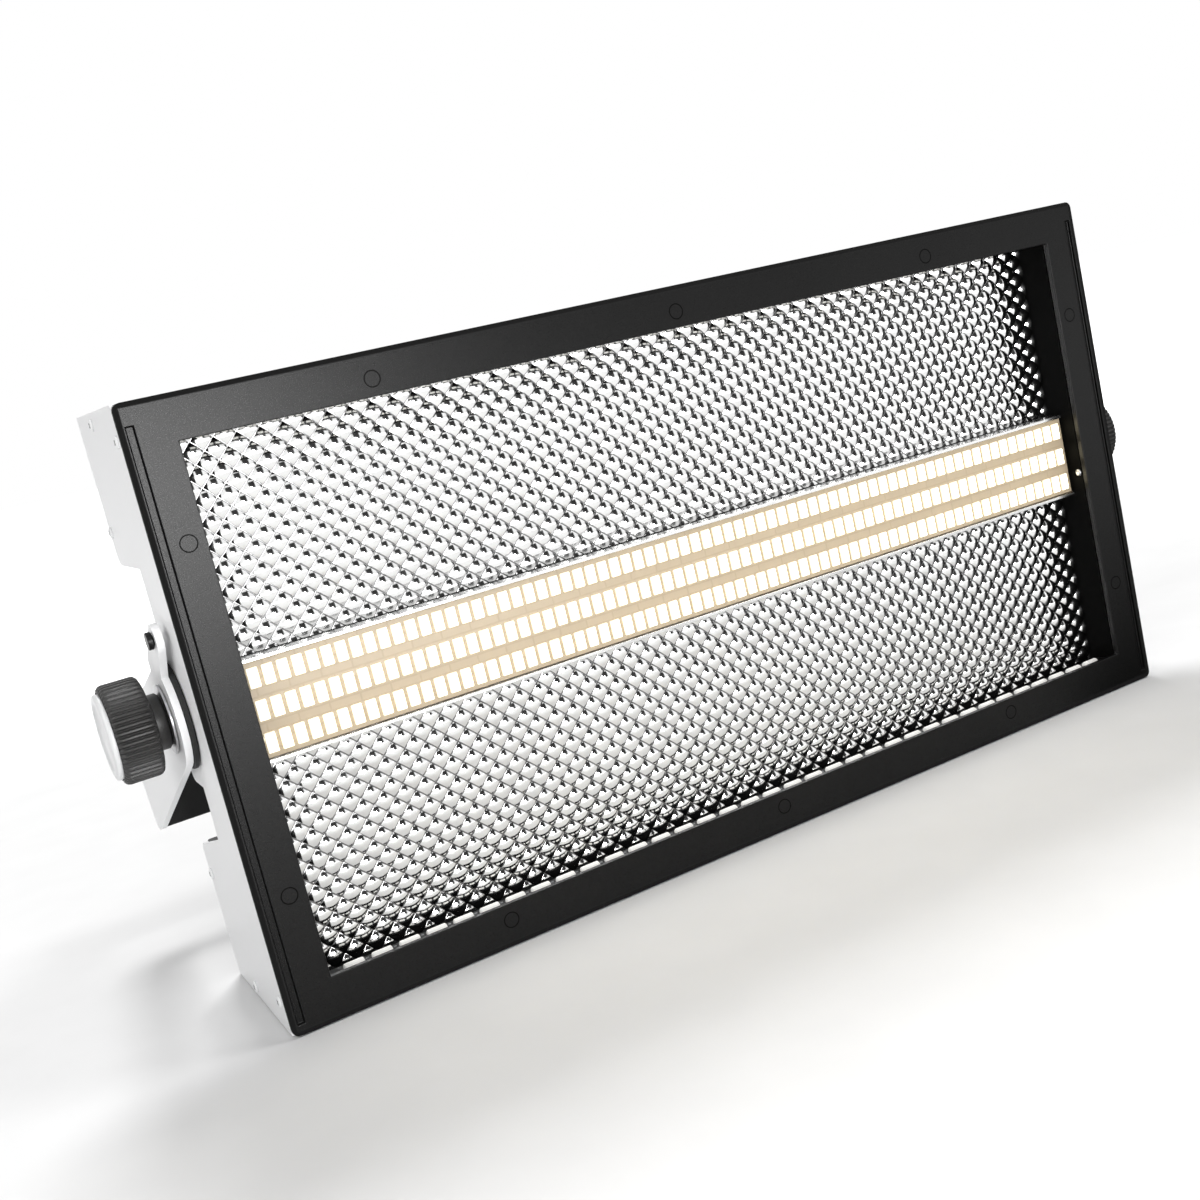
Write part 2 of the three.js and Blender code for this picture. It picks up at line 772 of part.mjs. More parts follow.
function sockets() {
  powerPlaces.forEach(([name, x]) => {
    const finish = name === 'power_inlet' ? 'blue' : 'grey';
    place(lamp, name, socket(), finish, [x, 0, upperPanelZ]);
  });
  const flangeY = rearY + seam;
  const seatY = flangeY + latchSeat;
  const wide = latchWide / 2 + seam;
  const low = latchLift - latchTall / 2 - seam;
  const high = latchLift + latchTall / 2 + seam;
  const pocket = block(-wide, wide, seatY, flangeY + socketFlange + overrun, low, high);
  dataPlaces.forEach(([name, x]) => {
    const extraCut = name === 'dmx_out' ? pocket : null;
    place(lamp, name, socket(extraCut), 'plastic', [x, 0, upperPanelZ]);
  });
  const latchFront = flangeY + socketFlange + latchProud;
  const latchBack = seatY + seam + latchTravel;
  const latchLow = latchLift - latchTall / 2;
  const latch = block(-latchWide / 2, latchWide / 2, latchBack, latchFront, latchLow, latchLow + latchTall);
  place(lamp, 'dmx_latch', latch, 'steel', [dataOutletPlace, 0, upperPanelZ]);
}

function fuse() {
  const flangeY = rearY + seam;
  const flangeEnd = flangeY + fuseFlangeThick;
  const flange = rodY(fuseFlange, flangeY, flangeEnd);
  const barrel = rodY(fuseBarrel, flangeEnd - fuseDeep, flangeY + fuseFlangeThick / 2);
  const bore = rodY(fuseBore, flangeEnd - fuseDeep + fuseFloor, flangeEnd + overrun);
  place(lamp, 'fuse_holder', cut(join(flange, barrel), bore), 'plastic', [fusePlace, 0, upperPanelZ]);
  const capY = flangeEnd + seam;
  const head = rodY(capRound, capY, capY + capTall);
  const stem = rodY(capStem, capY - capStemLong, capY + capTall / 2);
  const slotReach = capRound + overrun;
  const slotHalf = capSlotWide / 2;
  const slotY = capY + capTall - capSlotWide;
  const slot = block(-slotReach, slotReach, slotY, capY + capTall + overrun, -slotHalf, slotHalf);
  place(lamp, 'fuse_cap', cut(join(head, stem), slot), 'plastic', [fusePlace, 0, upperPanelZ]);
}

function safetyEye() {
  const baseY = rearY + seam;
  const base = block(-eyeWide / 2, eyeWide / 2, baseY, baseY + eyeThick, -eyeTall / 2, eyeTall / 2);
  const tongue = block(-eyeThick / 2, eyeThick / 2, baseY, baseY + eyeReach, -eyeTall / 2, eyeTall / 2);
  const hole = rodX(eyeHole, -eyeThick, eyeThick).translate(0, baseY + (eyeReach + eyeThick) / 2, 0);
  place(lamp, 'safety_eye', cut(join(base, tongue), hole), 'steel', [eyePlace, 0, upperPanelZ]);
}

// Pivot stud and friction disc on each side

function pivots() {
  Object.entries(sides).forEach(([word, side]) => {
    const turn = side > 0 ? 0 : Math.PI;
    const pivot = [0, pivotY, pivotHeight];
    const headEnd = sideInnerX - seam;
    const head = rodX(studHead, headEnd - studHeadTall, headEnd, hexSides);
    const shank = rodX(studRound, headEnd - studHeadTall / 2, armOuterX + studReach);
    place(lamp, `pivot_stud_${word}`, join(head, shank), 'steel', pivot, [0, 0, turn]);
    const disc = cut(
      rodX(discRound, width / 2 + seam, width / 2 + armGap - seam, wideSteps),
      rodX(studRound + studPlay, width / 2 - overrun, width / 2 + armGap + overrun),
    );
    place(lamp, `friction_disc_${word}`, disc, 'rubber', pivot, [0, 0, turn]);
  });
}

// Yoke, built round the pivot with its arms straight back, then tilted down

const yoke = new THREE.Group();
yoke.position.set(0, pivotY, pivotHeight);
yoke.rotation.x = -restTilt;
lamp.add(yoke);

function armPlate() {
  const strip = rounded([
    [0, -headRound, 0],
    [armReach, -armHalf, armRound],
    [armReach, armHalf, armRound],
    [0, headRound, 0],
  ]);
  const arm = sideways(plate(strip, armThick));
  const head = rodX(headRound, -armThick / 2, armThick / 2, wideSteps);
  const lobe = [
    [lobeBack, 0],
    [lobeBack, lobeShoulder],
    [lobeRound * Math.sin(lobeLean) - stopFront, stopUp + lobeRound * Math.cos(lobeLean)],
    [-stopFront, stopUp],
    [-stopFront - lobeRound * Math.cos(neckLean), stopUp - lobeRound * Math.sin(neckLean)],
    [-headRound * Math.sin(neckLean), headRound * Math.cos(neckLean) - overrun],
    [0, 0],
  ];
  const finger = sideways(plate(lobe, armThick)).rotateX(restTilt);
  const end = rodX(lobeRound, -armThick / 2, armThick / 2);
  end.translate(0, -stopFront, stopUp).rotateX(restTilt);
  const bore = rodX(studRound + studPlay, -armThick, armThick);
  const stopBore = rodX(stopShank + studPlay, -armThick, armThick, fewSteps);
  stopBore.translate(0, -stopFront, stopUp).rotateX(restTilt);
  return cut(join(arm, head, finger, end), bore, stopBore);
}

function stopScrew() {
  const head = rodX(stopHead, seam, seam + stopHeadTall, fewSteps);
  const shank = rodX(stopShank, -armThick, seam + stopHeadTall / 2, fewSteps);
  return join(head, shank).translate(0, -stopFront, stopUp).rotateX(restTilt);
}

function crossbar() {
  const half = width / 2 + armGap - seam;
  const inner = armReach - barSheet;
  const holes = [circle(clampHole, roundSteps, 0, 0)];
  [-1, 1].forEach((side) => holes.push(circle(sideHole, roundSteps, side * sideHolePlace, 0)));
  const bar = standing(plate(rectangle(2 * half, 2 * crossHalf), barSheet, holes));
  bar.translate(0, armReach - barSheet / 2, 0);
  const tabHalf = crossHalf - tabInset;
  const halfSheet = barSheet / 2;
  const tabs = [-1, 1].map((side) => {
    const tab = block(-halfSheet, halfSheet, inner - tabLength, inner + halfSheet, -tabHalf, tabHalf);
    return tab.translate(side * (half - halfSheet), 0, 0);
  });
  return join(bar, ...tabs);
}

function yokePieces() {
  Object.entries(sides).forEach(([word, side]) => {
    place(yoke, `yoke_arm_${word}`, armPlate(), 'palePaint', [side * (armOuterX - armThick / 2), 0, 0]);
    const screw = stopScrew();
    if (side < 0) {
      screw.applyMatrix4(new THREE.Matrix4().makeScale(-1, 1, 1));
      screw.setIndex(Array.from(screw.index.array).reverse());
    }
    place(yoke, `stop_screw_${word}`, screw, 'blackSatin', [side * armOuterX, 0, 0]);
  });
  place(yoke, 'yoke_crossbar', crossbar(), 'blackPaint');
}

// Clamping knobs, turning on the studs outside the arms

function knobOutline() {
  const list = [];
  for (let i = 0; i < fluteCount; i += 1) {
    const start = i * 2 * Math.PI / fluteCount;
    const flat = fluteFlatShare * 2 * Math.PI / fluteCount;
    const middle = start + (flat + 2 * Math.PI / fluteCount) / 2;
    list.push([knobRound * Math.cos(start), knobRound * Math.sin(start)]);
    list.push([knobRound * Math.cos(start + flat), knobRound * Math.sin(start + flat)]);
    list.push([(knobRound - fluteDeep) * Math.cos(middle), (knobRound - fluteDeep) * Math.sin(middle)]);
  }
  return list;
}

function knobs() {
  const washerX = armOuterX + seam;
  const neckX = washerX + washerThick + seam;
  const bodyX = neckX + neckLong;
  const endX = bodyX + knobLong;
  Object.entries(sides).forEach(([word, side]) => {
    const turn = side > 0 ? 0 : Math.PI;
    const pivot = [0, pivotY, pivotHeight];
    const bore = rodX(studRound + studPlay, washerX - overrun, armOuterX + studReach + boreSpare);
    const washer = cut(rodX(washerRound, washerX, washerX + washerThick, wideSteps), bore);
    place(lamp, `washer_${word}`, washer, 'steel', pivot, [0, 0, turn]);
    const body = sideways(plate(knobOutline(), knobLong)).translate(bodyX + knobLong / 2, 0, 0);
    const neck = rodX(neckRound, neckX, bodyX + overrun);
    place(lamp, `knob_${word}`, cut(join(body, neck), bore), 'plastic', pivot, [0, 0, turn]);
    const cap = rodX(capDisc, endX + seam, endX + seam + capDiscThick, wideSteps);
    place(lamp, `knob_cap_${word}`, cap, 'palePaint', pivot, [0, 0, turn]);
  });
}

frontFrame();
sidePanels();
covers();
upperPanel();
lowerPanel();
chassis();
endWalls();
reflectors();
edgeStrips();
ledBar();
heatSink();
fans();
electronics();
display();
buttons();
sockets();
fuse();
safetyEye();
pivots();
yokePieces();
knobs();

export default lamp;
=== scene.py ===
"""Looks of the LED strobe light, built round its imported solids. Metres, Z up, the light shines along -Y."""

import math

import bmesh
import bpy
import numpy as np
from mathutils import Matrix, Vector


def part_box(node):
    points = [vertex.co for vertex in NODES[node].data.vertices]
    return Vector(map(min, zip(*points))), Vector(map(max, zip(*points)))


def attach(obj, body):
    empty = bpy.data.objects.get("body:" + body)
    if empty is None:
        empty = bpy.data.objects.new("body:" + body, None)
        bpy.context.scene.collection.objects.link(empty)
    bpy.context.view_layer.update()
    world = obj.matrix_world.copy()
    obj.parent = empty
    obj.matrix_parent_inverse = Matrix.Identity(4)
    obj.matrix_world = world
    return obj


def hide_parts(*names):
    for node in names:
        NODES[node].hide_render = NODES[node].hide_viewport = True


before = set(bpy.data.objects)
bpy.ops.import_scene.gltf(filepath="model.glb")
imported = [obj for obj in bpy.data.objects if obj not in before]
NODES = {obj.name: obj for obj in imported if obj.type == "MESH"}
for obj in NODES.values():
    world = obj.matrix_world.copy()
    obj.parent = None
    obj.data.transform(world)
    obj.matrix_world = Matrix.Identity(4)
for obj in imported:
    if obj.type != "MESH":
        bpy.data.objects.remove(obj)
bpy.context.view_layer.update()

# Places of the solids: the frame's front face, the bays' rear face, the middle height and the yoke's pivot
MM = 0.001
FRONT = -0.0415
REAR = 0.0415
CENTRE_Z = 0.110
PIVOT = Vector((0.0, -0.0040, 0.1122))
FORWARD = (0, -1, 0)
BACKWARD = (0, 1, 0)

# The front frame's outline and the width of its pressed edge
FRAME_HALF_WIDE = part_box("front_frame")[1].x
FRAME_HALF_TALL = CENTRE_Z
FRAME_RIM = 0.0017

# The reflector's domes lie in a lattice along the two diagonals. DOME_PLACE is the middle of one of them.
CELL = 4.0 * MM
DOME_PITCH = 2 * CELL
DOME_PLACE = (-0.1829, CENTRE_Z + 0.0892)


# Materials

# A noise's values lie mostly in NOISE_RANGE, and two tones are set at TONE_STOPS
NOISE_RANGE = (0.25, 0.75)
TONE_STOPS = (0.3, 0.7)

# Scales of the noises, about as waves per metre before a stretch
PLASTIC_CLOUD = 60.0
METAL_LINES = 8.0
MIRROR_CLOUD = 45.0
PHOSPHOR_GRAIN = 900.0
GLASS_CLOUD = 70.0
PAPER_CLOUD = 30.0

# How far the roughness swings about its middle, and the heights of the finest bumps
POWDER_SWING = 0.06
PLASTIC_SWING = 0.05
METAL_SWING = 0.07
MIRROR_ROUGH = (0.07, 0.13)
FINE_BUMP = 0.00002
TRACK_BUMP = 0.00004

# How much paler the light tone of a lit face is than its base
PALER = 1.08

# Powder paint: how far the grain and the clouds move the tone, and how much rougher a pressed edge is
GRAIN_TONE = 0.28
CLOUD_TONE = (0.3, 0.7)
RIM_BLUR = 0.0003
RIM_ROUGHER = 0.6

# The mirror's creases carry painted shade: where it starts and where it is full, as a share of the domes'
# pitch.
# ROLLING_MARKS is how far its noise moves it along MIRROR_AND_CREASE_SHADE_TONES, where a crease is 1.
CREASE_SHADE_SPAN = (0.43, 0.485)
ROLLING_MARKS = (0.0, 0.08)
MIRROR_AND_CREASE_SHADE_TONES = [(0.0, (0.94, 0.94, 0.935)), (0.08, (0.86, 0.86, 0.86)), (1.0, (0.16, 0.16, 0.16))]

# A circuit board's tracks
TRACKS = {
    "Scale": 1.0, "Brick Width": 0.0113, "Row Height": 0.0031, "Mortar Size": 0.00035, "Mortar Smooth": 0.2,
}


class Tree:
    """A node tree, with short ways to add nodes to it."""

    def __init__(self, tree):
        self.tree = tree

    def feed(self, term, socket):
        """Links another node's output into a socket, or writes a plain value there."""
        if isinstance(term, bpy.types.NodeSocket):
            self.tree.links.new(term, socket)
        else:
            socket.default_value = term

    def add(self, kind, inputs=None, **settings):
        """Adds a node. Inputs pairs a socket's name or number with an output or a plain value."""
        node = self.tree.nodes.new(kind)
        for key, value in settings.items():
            setattr(node, key, value)
        for socket, term in (inputs or {}).items():
            self.feed(term, node.inputs[socket])
        return node

    def maths(self, operation, *terms):
        """The number that the operation gives. A term is an output or a plain number."""
        return self.add("ShaderNodeMath", dict(enumerate(terms)), operation=operation).outputs[0]

    def vectors(self, operation, *terms):
        """The vector that the operation gives, or its number for a dot product or a length."""
        node = self.add("ShaderNodeVectorMath", dict(enumerate(terms)), operation=operation)
        return node.outputs["Value" if operation in ("DOT_PRODUCT", "LENGTH") else "Vector"]

    def smooth(self, value, start, full, top=1.0):
        """Rises smoothly from nought at the start to the top where it is full."""
        inputs = {"Value": value, "From Min": start, "From Max": full, "To Max": top}
        return self.add("ShaderNodeMapRange", inputs, interpolation_type="SMOOTHSTEP").outputs["Result"]

    def mix(self, share, first, second):
        return self.add("ShaderNodeMixShader", {0: share, 1: first, 2: second}).outputs[0]


class Maker(Tree):
    """A node material with a Principled surface and the part's own coordinates, in metres."""

    def __init__(self, name, roughness, metallic=0.0, **sockets):
        self.material = bpy.data.materials.new(name)
        self.material.use_nodes = True
        super().__init__(self.material.node_tree)
        self.surface = self.tree.nodes["Principled BSDF"]
        self.surface.inputs["Roughness"].default_value = roughness
        self.surface.inputs["Metallic"].default_value = metallic
        for socket, value in sockets.items():
            self.surface.inputs[socket.replace("_", " ")].default_value = value
        self.place = self.add("ShaderNodeTexCoord").outputs["Object"]

    def split(self):
        return self.add("ShaderNodeSeparateXYZ", {0: self.place}).outputs

    def noise(self, scale, detail=2.0, stretch=None):
        vector = self.place
        if stretch:
            vector = self.add("ShaderNodeMapping", {"Vector": vector, "Scale": stretch}).outputs["Vector"]
        inputs = {"Scale": scale, "Detail": detail, "Vector": vector}
        return self.add("ShaderNodeTexNoise", inputs).outputs["Fac"]

    def cells(self, scale):
        return self.add("ShaderNodeTexVoronoi", {"Scale": scale, "Vector": self.place}).outputs["Distance"]

    def spread(self, noise, low, high):
        """Spreads a noise over the span from low to high."""
        start, stop = NOISE_RANGE
        inputs = {"Value": noise, "From Min": start, "From Max": stop, "To Min": low, "To Max": high}
        return self.add("ShaderNodeMapRange", inputs).outputs["Result"]

    def colour(self, factor, stops):
        """Colours the surface by a ramp of (position, colour) stops."""
        node = self.add("ShaderNodeValToRGB", {"Fac": factor})
        elements = node.color_ramp.elements
        while len(elements) < len(stops):
            elements.new(0.5)
        for element, (position, colour) in zip(elements, stops):
            element.position = position
            element.color = (*colour, 1.0)
        self.feed(node.outputs["Color"], self.surface.inputs["Base Color"])

    def two_tones(self, noise, dark, light):
        self.colour(noise, list(zip(TONE_STOPS, (dark, light))))

    def rough(self, output):
        self.feed(output, self.surface.inputs["Roughness"])

    def bump(self, height, distance):
        node = self.add("ShaderNodeBump", {"Distance": distance, "Strength": 1.0, "Height": height})
        self.feed(node.outputs["Normal"], self.surface.inputs["Normal"])


def rim_dullness(make, half_wide, half_tall, band):
    """Added roughness on the pressed edge of a plate round the light's middle."""
    parts = make.split()
    inside = []
    for axis, centre, half in (("X", 0.0, half_wide), ("Z", CENTRE_Z, half_tall)):
        away = make.maths("ABSOLUTE", make.maths("SUBTRACT", parts[axis], centre))
        inside.append(make.maths("SUBTRACT", away, half - band))
    return make.smooth(make.maths("MAXIMUM", *inside), -RIM_BLUR, RIM_BLUR, RIM_ROUGHER)


def powder(name, dark, light, roughness, grain=1500.0, cloud=22.0, depth=0.00005, shine=0.5, rim=None):
    """Powder paint: a fine grain over slow clouds of tone. A rim is a plate's half width, its half height and
    the width of its pressed edge, where the paint is dull."""
    make = Maker(name, roughness, Specular_IOR_Level=shine)
    fine = make.noise(grain, detail=3.0)
    slow = make.noise(cloud)
    tone = make.maths("ADD", make.spread(fine, -GRAIN_TONE, GRAIN_TONE), make.spread(slow, *CLOUD_TONE))
    make.colour(tone, [(0.0, dark), (1.0, light)])
    rough = make.spread(fine, roughness - POWDER_SWING, roughness + POWDER_SWING)
    if rim:
        rough = make.maths("ADD", rough, rim_dullness(make, *rim))
    make.rough(rough)
    make.bump(fine, depth)
    return make.material


def plastic(name, dark, light, roughness, depth=0.00003, grain=2200.0):
    """Moulded plastic with a fine erosion grain."""
    make = Maker(name, roughness)
    slow = make.noise(PLASTIC_CLOUD)
    make.two_tones(slow, dark, light)
    make.rough(make.spread(slow, roughness - PLASTIC_SWING, roughness + PLASTIC_SWING))
    make.bump(make.cells(grain), depth)
    return make.material


def metal(name, dark, light, roughness, stretch=(60.0, 60.0, 60.0)):
    """Bare metal, brushed where the stretch differs between the axes."""
    make = Maker(name, roughness, metallic=1.0)
    lines = make.noise(METAL_LINES, detail=4.0, stretch=stretch)
    make.two_tones(lines, dark, light)
    make.rough(make.spread(lines, roughness - METAL_SWING, roughness + METAL_SWING))
    make.bump(lines, FINE_BUMP)
    return make.material


def mirror(name, start, pitch):
    """Polished sheet with faint rolling marks; the creases between its domes are darkened in colour as painted
    shade. The middle of one dome and the pitch along the diagonals place the lattice."""
    make = Maker(name, roughness=0.1, metallic=1.0)
    slow = make.noise(MIRROR_CLOUD)
    parts = make.split()
    offsets = []
    for turn, first in (("ADD", start[0] + start[1]), ("SUBTRACT", start[0] - start[1])):
        diagonal = make.maths(turn, parts["X"], parts["Z"])
        count = make.maths("MULTIPLY_ADD", diagonal, 1.0 / pitch, -first / pitch)
        offsets.append(make.maths("PINGPONG", count, 0.5))
    # Painted shade: the colour darkens toward the creases between the domes
    crease = make.smooth(make.maths("MAXIMUM", *offsets), *CREASE_SHADE_SPAN)
    make.colour(make.maths("ADD", crease, make.spread(slow, *ROLLING_MARKS)), MIRROR_AND_CREASE_SHADE_TONES)
    make.rough(make.spread(slow, *MIRROR_ROUGH))
    return make.material


def glowing(name, colour, strength, base):
    """A lit face: its own light over a pale body."""
    make = Maker(name, roughness=0.35)
    fine = make.noise(PHOSPHOR_GRAIN)
    paler = tuple(min(1.0, value * PALER) for value in base)
    make.two_tones(fine, base, paler)
    make.bump(fine, FINE_BUMP)
    make.surface.inputs["Emission Color"].default_value = (*colour, 1.0)
    make.surface.inputs["Emission Strength"].default_value = strength
    return make.material


def board(name, mask, line, copper, shine=0.5):
    """Circuit board: solder mask with raised tracks along X and Z."""
    make = Maker(name, roughness=0.45, Specular_IOR_Level=shine)
    upright = {"Vector": make.place, "Rotation": (math.pi / 2, 0.0, 0.0)}
    inputs = {"Vector": make.add("ShaderNodeMapping", upright).outputs["Vector"], **TRACKS}
    for socket, tone in (("Color1", mask), ("Color2", line), ("Mortar", copper)):
        inputs[socket] = (*tone, 1.0)
    tracks = make.add("ShaderNodeTexBrick", inputs, offset=0.37, squash=1.0)
    make.feed(tracks.outputs["Color"], make.surface.inputs["Base Color"])
    make.bump(tracks.outputs["Fac"], TRACK_BUMP)
    return make.material


def glass_black(name, dark, light):
    """Dark display glass with a faint orange-peel."""
    make = Maker(name, roughness=0.08, Coat_Weight=0.6)
    slow = make.noise(GLASS_CLOUD)
    make.two_tones(slow, dark, light)
    make.bump(slow, FINE_BUMP)
    return make.material


LOOKS = {
    "frame": powder(
        "frame_paint", (0.0015, 0.0015, 0.0015), (0.0045, 0.0045, 0.0044), 0.30,
        grain=2600.0, depth=0.000022, shine=0.20, rim=(FRAME_HALF_WIDE, FRAME_HALF_TALL, FRAME_RIM),
    ),
    "inner": powder(
        "inner_paint", (0.0010, 0.0010, 0.0010), (0.0030, 0.0030, 0.0029), 0.55,
        grain=2600.0, depth=0.000022, shine=0.02,
    ),
    "cover": powder("cover_paint", (0.010, 0.010, 0.010), (0.024, 0.024, 0.024), 0.5),
    # Painted sheen: the pale tone stands in for the bright reflection on black side panels, yoke arms and side
    # screws
    "pale": powder("pale_painted_sheen", (0.81, 0.815, 0.82), (0.87, 0.87, 0.875), 0.42, grain=1400.0, cloud=9.0),
    "crossbar": powder("crossbar_paint", (0.006, 0.006, 0.006), (0.016, 0.016, 0.016), 0.5),
    "guard": powder("guard_paint", (0.010, 0.010, 0.010), (0.022, 0.022, 0.022), 0.4),
    "mirror": mirror("reflector_mirror", DOME_PLACE, DOME_PITCH),
    "alloy": metal("sink_alloy", (0.50, 0.51, 0.52), (0.66, 0.67, 0.68), 0.34, (4.0, 60.0, 90.0)),
    "bar": metal("bar_alloy", (0.60, 0.60, 0.60), (0.78, 0.78, 0.77), 0.24, (3.0, 90.0, 90.0)),
    "zinc": metal("zinc_steel", (0.42, 0.42, 0.43), (0.60, 0.60, 0.61), 0.36, (80.0, 80.0, 80.0)),
    "brass": metal("contact_brass", (0.55, 0.38, 0.14), (0.72, 0.52, 0.22), 0.28),
    "screw": metal("screw_black", (0.018, 0.018, 0.018), (0.035, 0.035, 0.035), 0.4, (90.0, 90.0, 90.0)),
    "fan": plastic("fan_plastic", (0.010, 0.010, 0.011), (0.017, 0.017, 0.018), 0.5),
    "knob": plastic("knob_plastic", (0.012, 0.012, 0.012), (0.022, 0.021, 0.020), 0.42),
    # Painted highlight: the knob caps are drawn pale for the bright light on their end faces
    "cap": plastic("cap_plastic", (0.66, 0.665, 0.67), (0.76, 0.765, 0.77), 0.35),
    "button": plastic("button_rubber", (0.020, 0.020, 0.021), (0.032, 0.032, 0.033), 0.6),
    "black": plastic("socket_black", (0.010, 0.010, 0.010), (0.018, 0.018, 0.018), 0.45),
    "blue": plastic("socket_blue", (0.020, 0.075, 0.27), (0.030, 0.095, 0.33), 0.42),
    "grey": plastic("socket_grey", (0.20, 0.205, 0.21), (0.26, 0.265, 0.27), 0.45),
    "rubber": plastic(
        "disc_rubber", (0.008, 0.008, 0.008), (0.015, 0.015, 0.015), 0.75, depth=0.00006, grain=1200.0
    ),
    "glass": glass_black("display_glass", (0.006, 0.008, 0.010), (0.012, 0.015, 0.018)),
    "cream": board("led_board_cream", (0.48, 0.39, 0.275), (0.465, 0.38, 0.268), (0.43, 0.345, 0.24)),
    "green": board("circuit_green", (0.010, 0.075, 0.035), (0.012, 0.085, 0.040), (0.03, 0.16, 0.08)),
    "black_board": board(
        "strip_board", (0.006, 0.006, 0.006), (0.008, 0.008, 0.008), (0.02, 0.02, 0.02), shine=0.1
    ),
    "led": glowing("led_phosphor", (1.0, 0.90, 0.66), 5.0, (0.86, 0.72, 0.36)),
    "led_body": glowing("led_rim", (1.0, 0.93, 0.70), 0.55, (0.78, 0.74, 0.62)),
    "lens": glowing("strip_lens", (1.0, 0.98, 0.94), 0.25, (0.78, 0.77, 0.74)),
}


# Mesh helpers

WELD_DISTANCE = 0.000004
FLAT_ANGLE = math.radians(0.6)
BOX_EDGE_PROFILE = 0.6

# Width of the rounded edges of thin plates
THIN_EDGE = 0.0001


def smooth_faces(mesh, smooth=True):
    mesh.polygons.foreach_set("use_smooth", np.full(len(mesh.polygons), smooth))


def show(name, data):
    obj = bpy.data.objects.new(name, data)
    bpy.context.scene.collection.objects.link(obj)
    return obj


def soften(obj, width, angle=34.0, segments=2, dissolve=True):
    """Welds the solid, joins its flat faces, rounds its sharp edges and smooths the rest."""
    mesh = obj.data
    smooth_faces(mesh)
    if "custom_normal" in mesh.attributes:
        mesh.attributes.remove(mesh.attributes["custom_normal"])
    weld = obj.modifiers.new("weld", "WELD")
    weld.merge_threshold = WELD_DISTANCE
    if dissolve:
        flat = obj.modifiers.new("flat", "DECIMATE")
        flat.decimate_type = "DISSOLVE"
        flat.angle_limit = FLAT_ANGLE
    edge = obj.modifiers.new("edge", "BEVEL")
    edge.width = width
    edge.segments = segments
    edge.limit_method = "ANGLE"
    edge.angle_limit = math.radians(angle)
    edge.harden_normals = True
    edge.use_clamp_overlap = True


def soften_turned(obj, width, angle):
    """Rounds the sharp edges of a turned or curved piece, which has no flat faces to join."""
    soften(obj, width, angle, segments=1, dissolve=False)


def piece(name, bm, body, look, smooth=True):
    """Makes an object of a finished mesh, with the look's material, riding on a body."""
    mesh = bpy.data.meshes.new(name)
    bm.to_mesh(mesh)
    bm.free()
    smooth_faces(mesh, smooth)
    obj = show(name, mesh)
    obj.data.materials.append(LOOKS[look])
    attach(obj, body)
    return obj


def turned_piece(name, bm, body, look):
    """A piece of closed shapes, whose faces are turned outward first."""
    bmesh.ops.recalc_face_normals(bm, faces=bm.faces)
    return piece(name, bm, body, look)


def add_box(bm, low, high, bevel=0.0, segments=2):
    made = bmesh.ops.create_cube(bm, size=1.0)
    size = [b - a for a, b in zip(low, high)]
    middle = [(a + b) / 2 for a, b in zip(low, high)]
    bmesh.ops.scale(bm, vec=size, verts=made["verts"])
    bmesh.ops.translate(bm, vec=middle, verts=made["verts"])
    if bevel:
        edges = list({edge for vert in made["verts"] for edge in vert.link_edges})
        bmesh.ops.bevel(
            bm, geom=edges, offset=bevel, segments=segments, affect="EDGES", profile=BOX_EDGE_PROFILE
        )


def span(first, second):
    """Two numbers, the lower one first."""
    return min(first, second), max(first, second)


def add_lathe(bm, profile, axis_point, axis, steps, radius_at=None):
    """Turns (distance along the axis, radius) pairs round an axis; radius 0 closes the end."""
    direction = Vector(axis).normalized()
    side = direction.orthogonal().normalized()
    other = direction.cross(side)
    rings = []
    for along, radius in profile:
        centre = Vector(axis_point) + direction * along
        if radius <= 0.0:
            rings.append([bm.verts.new(centre)])
            continue
        ring = []
        for i in range(steps):
            angle = 2 * math.pi * i / steps
            r = radius_at(radius, angle, along) if radius_at else radius
            ring.append(bm.verts.new(centre + side * (r * math.cos(angle)) + other * (r * math.sin(angle))))
        rings.append(ring)
    for a, b in zip(rings, rings[1:]):
        for i in range(steps):
            j = (i + 1) % steps
            if len(a) == 1:
                bm.faces.new((a[0], b[j], b[i]))
            elif len(b) == 1:
                bm.faces.new((a[i], a[j], b[0]))
            else:
                bm.faces.new((a[i], a[j], b[j], b[i]))


def rod_profile(length, radius, edge, count=4):
    """Profile points of a rod with both rims rounded."""
    turns = [math.pi / 2 * k / count for k in range(count + 1)]
    points = [(0.0, 0.0)]
    points += [(edge * (1 - math.cos(turn)), radius - edge * (1 - math.sin(turn))) for turn in turns]
    points += [(length - edge * (1 - math.sin(turn)), radius - edge * (1 - math.cos(turn))) for turn in turns]
    points.append((length, 0.0))
    return points


# Carried-over solids: each node's look, and the width of its rounded edges in millimetres

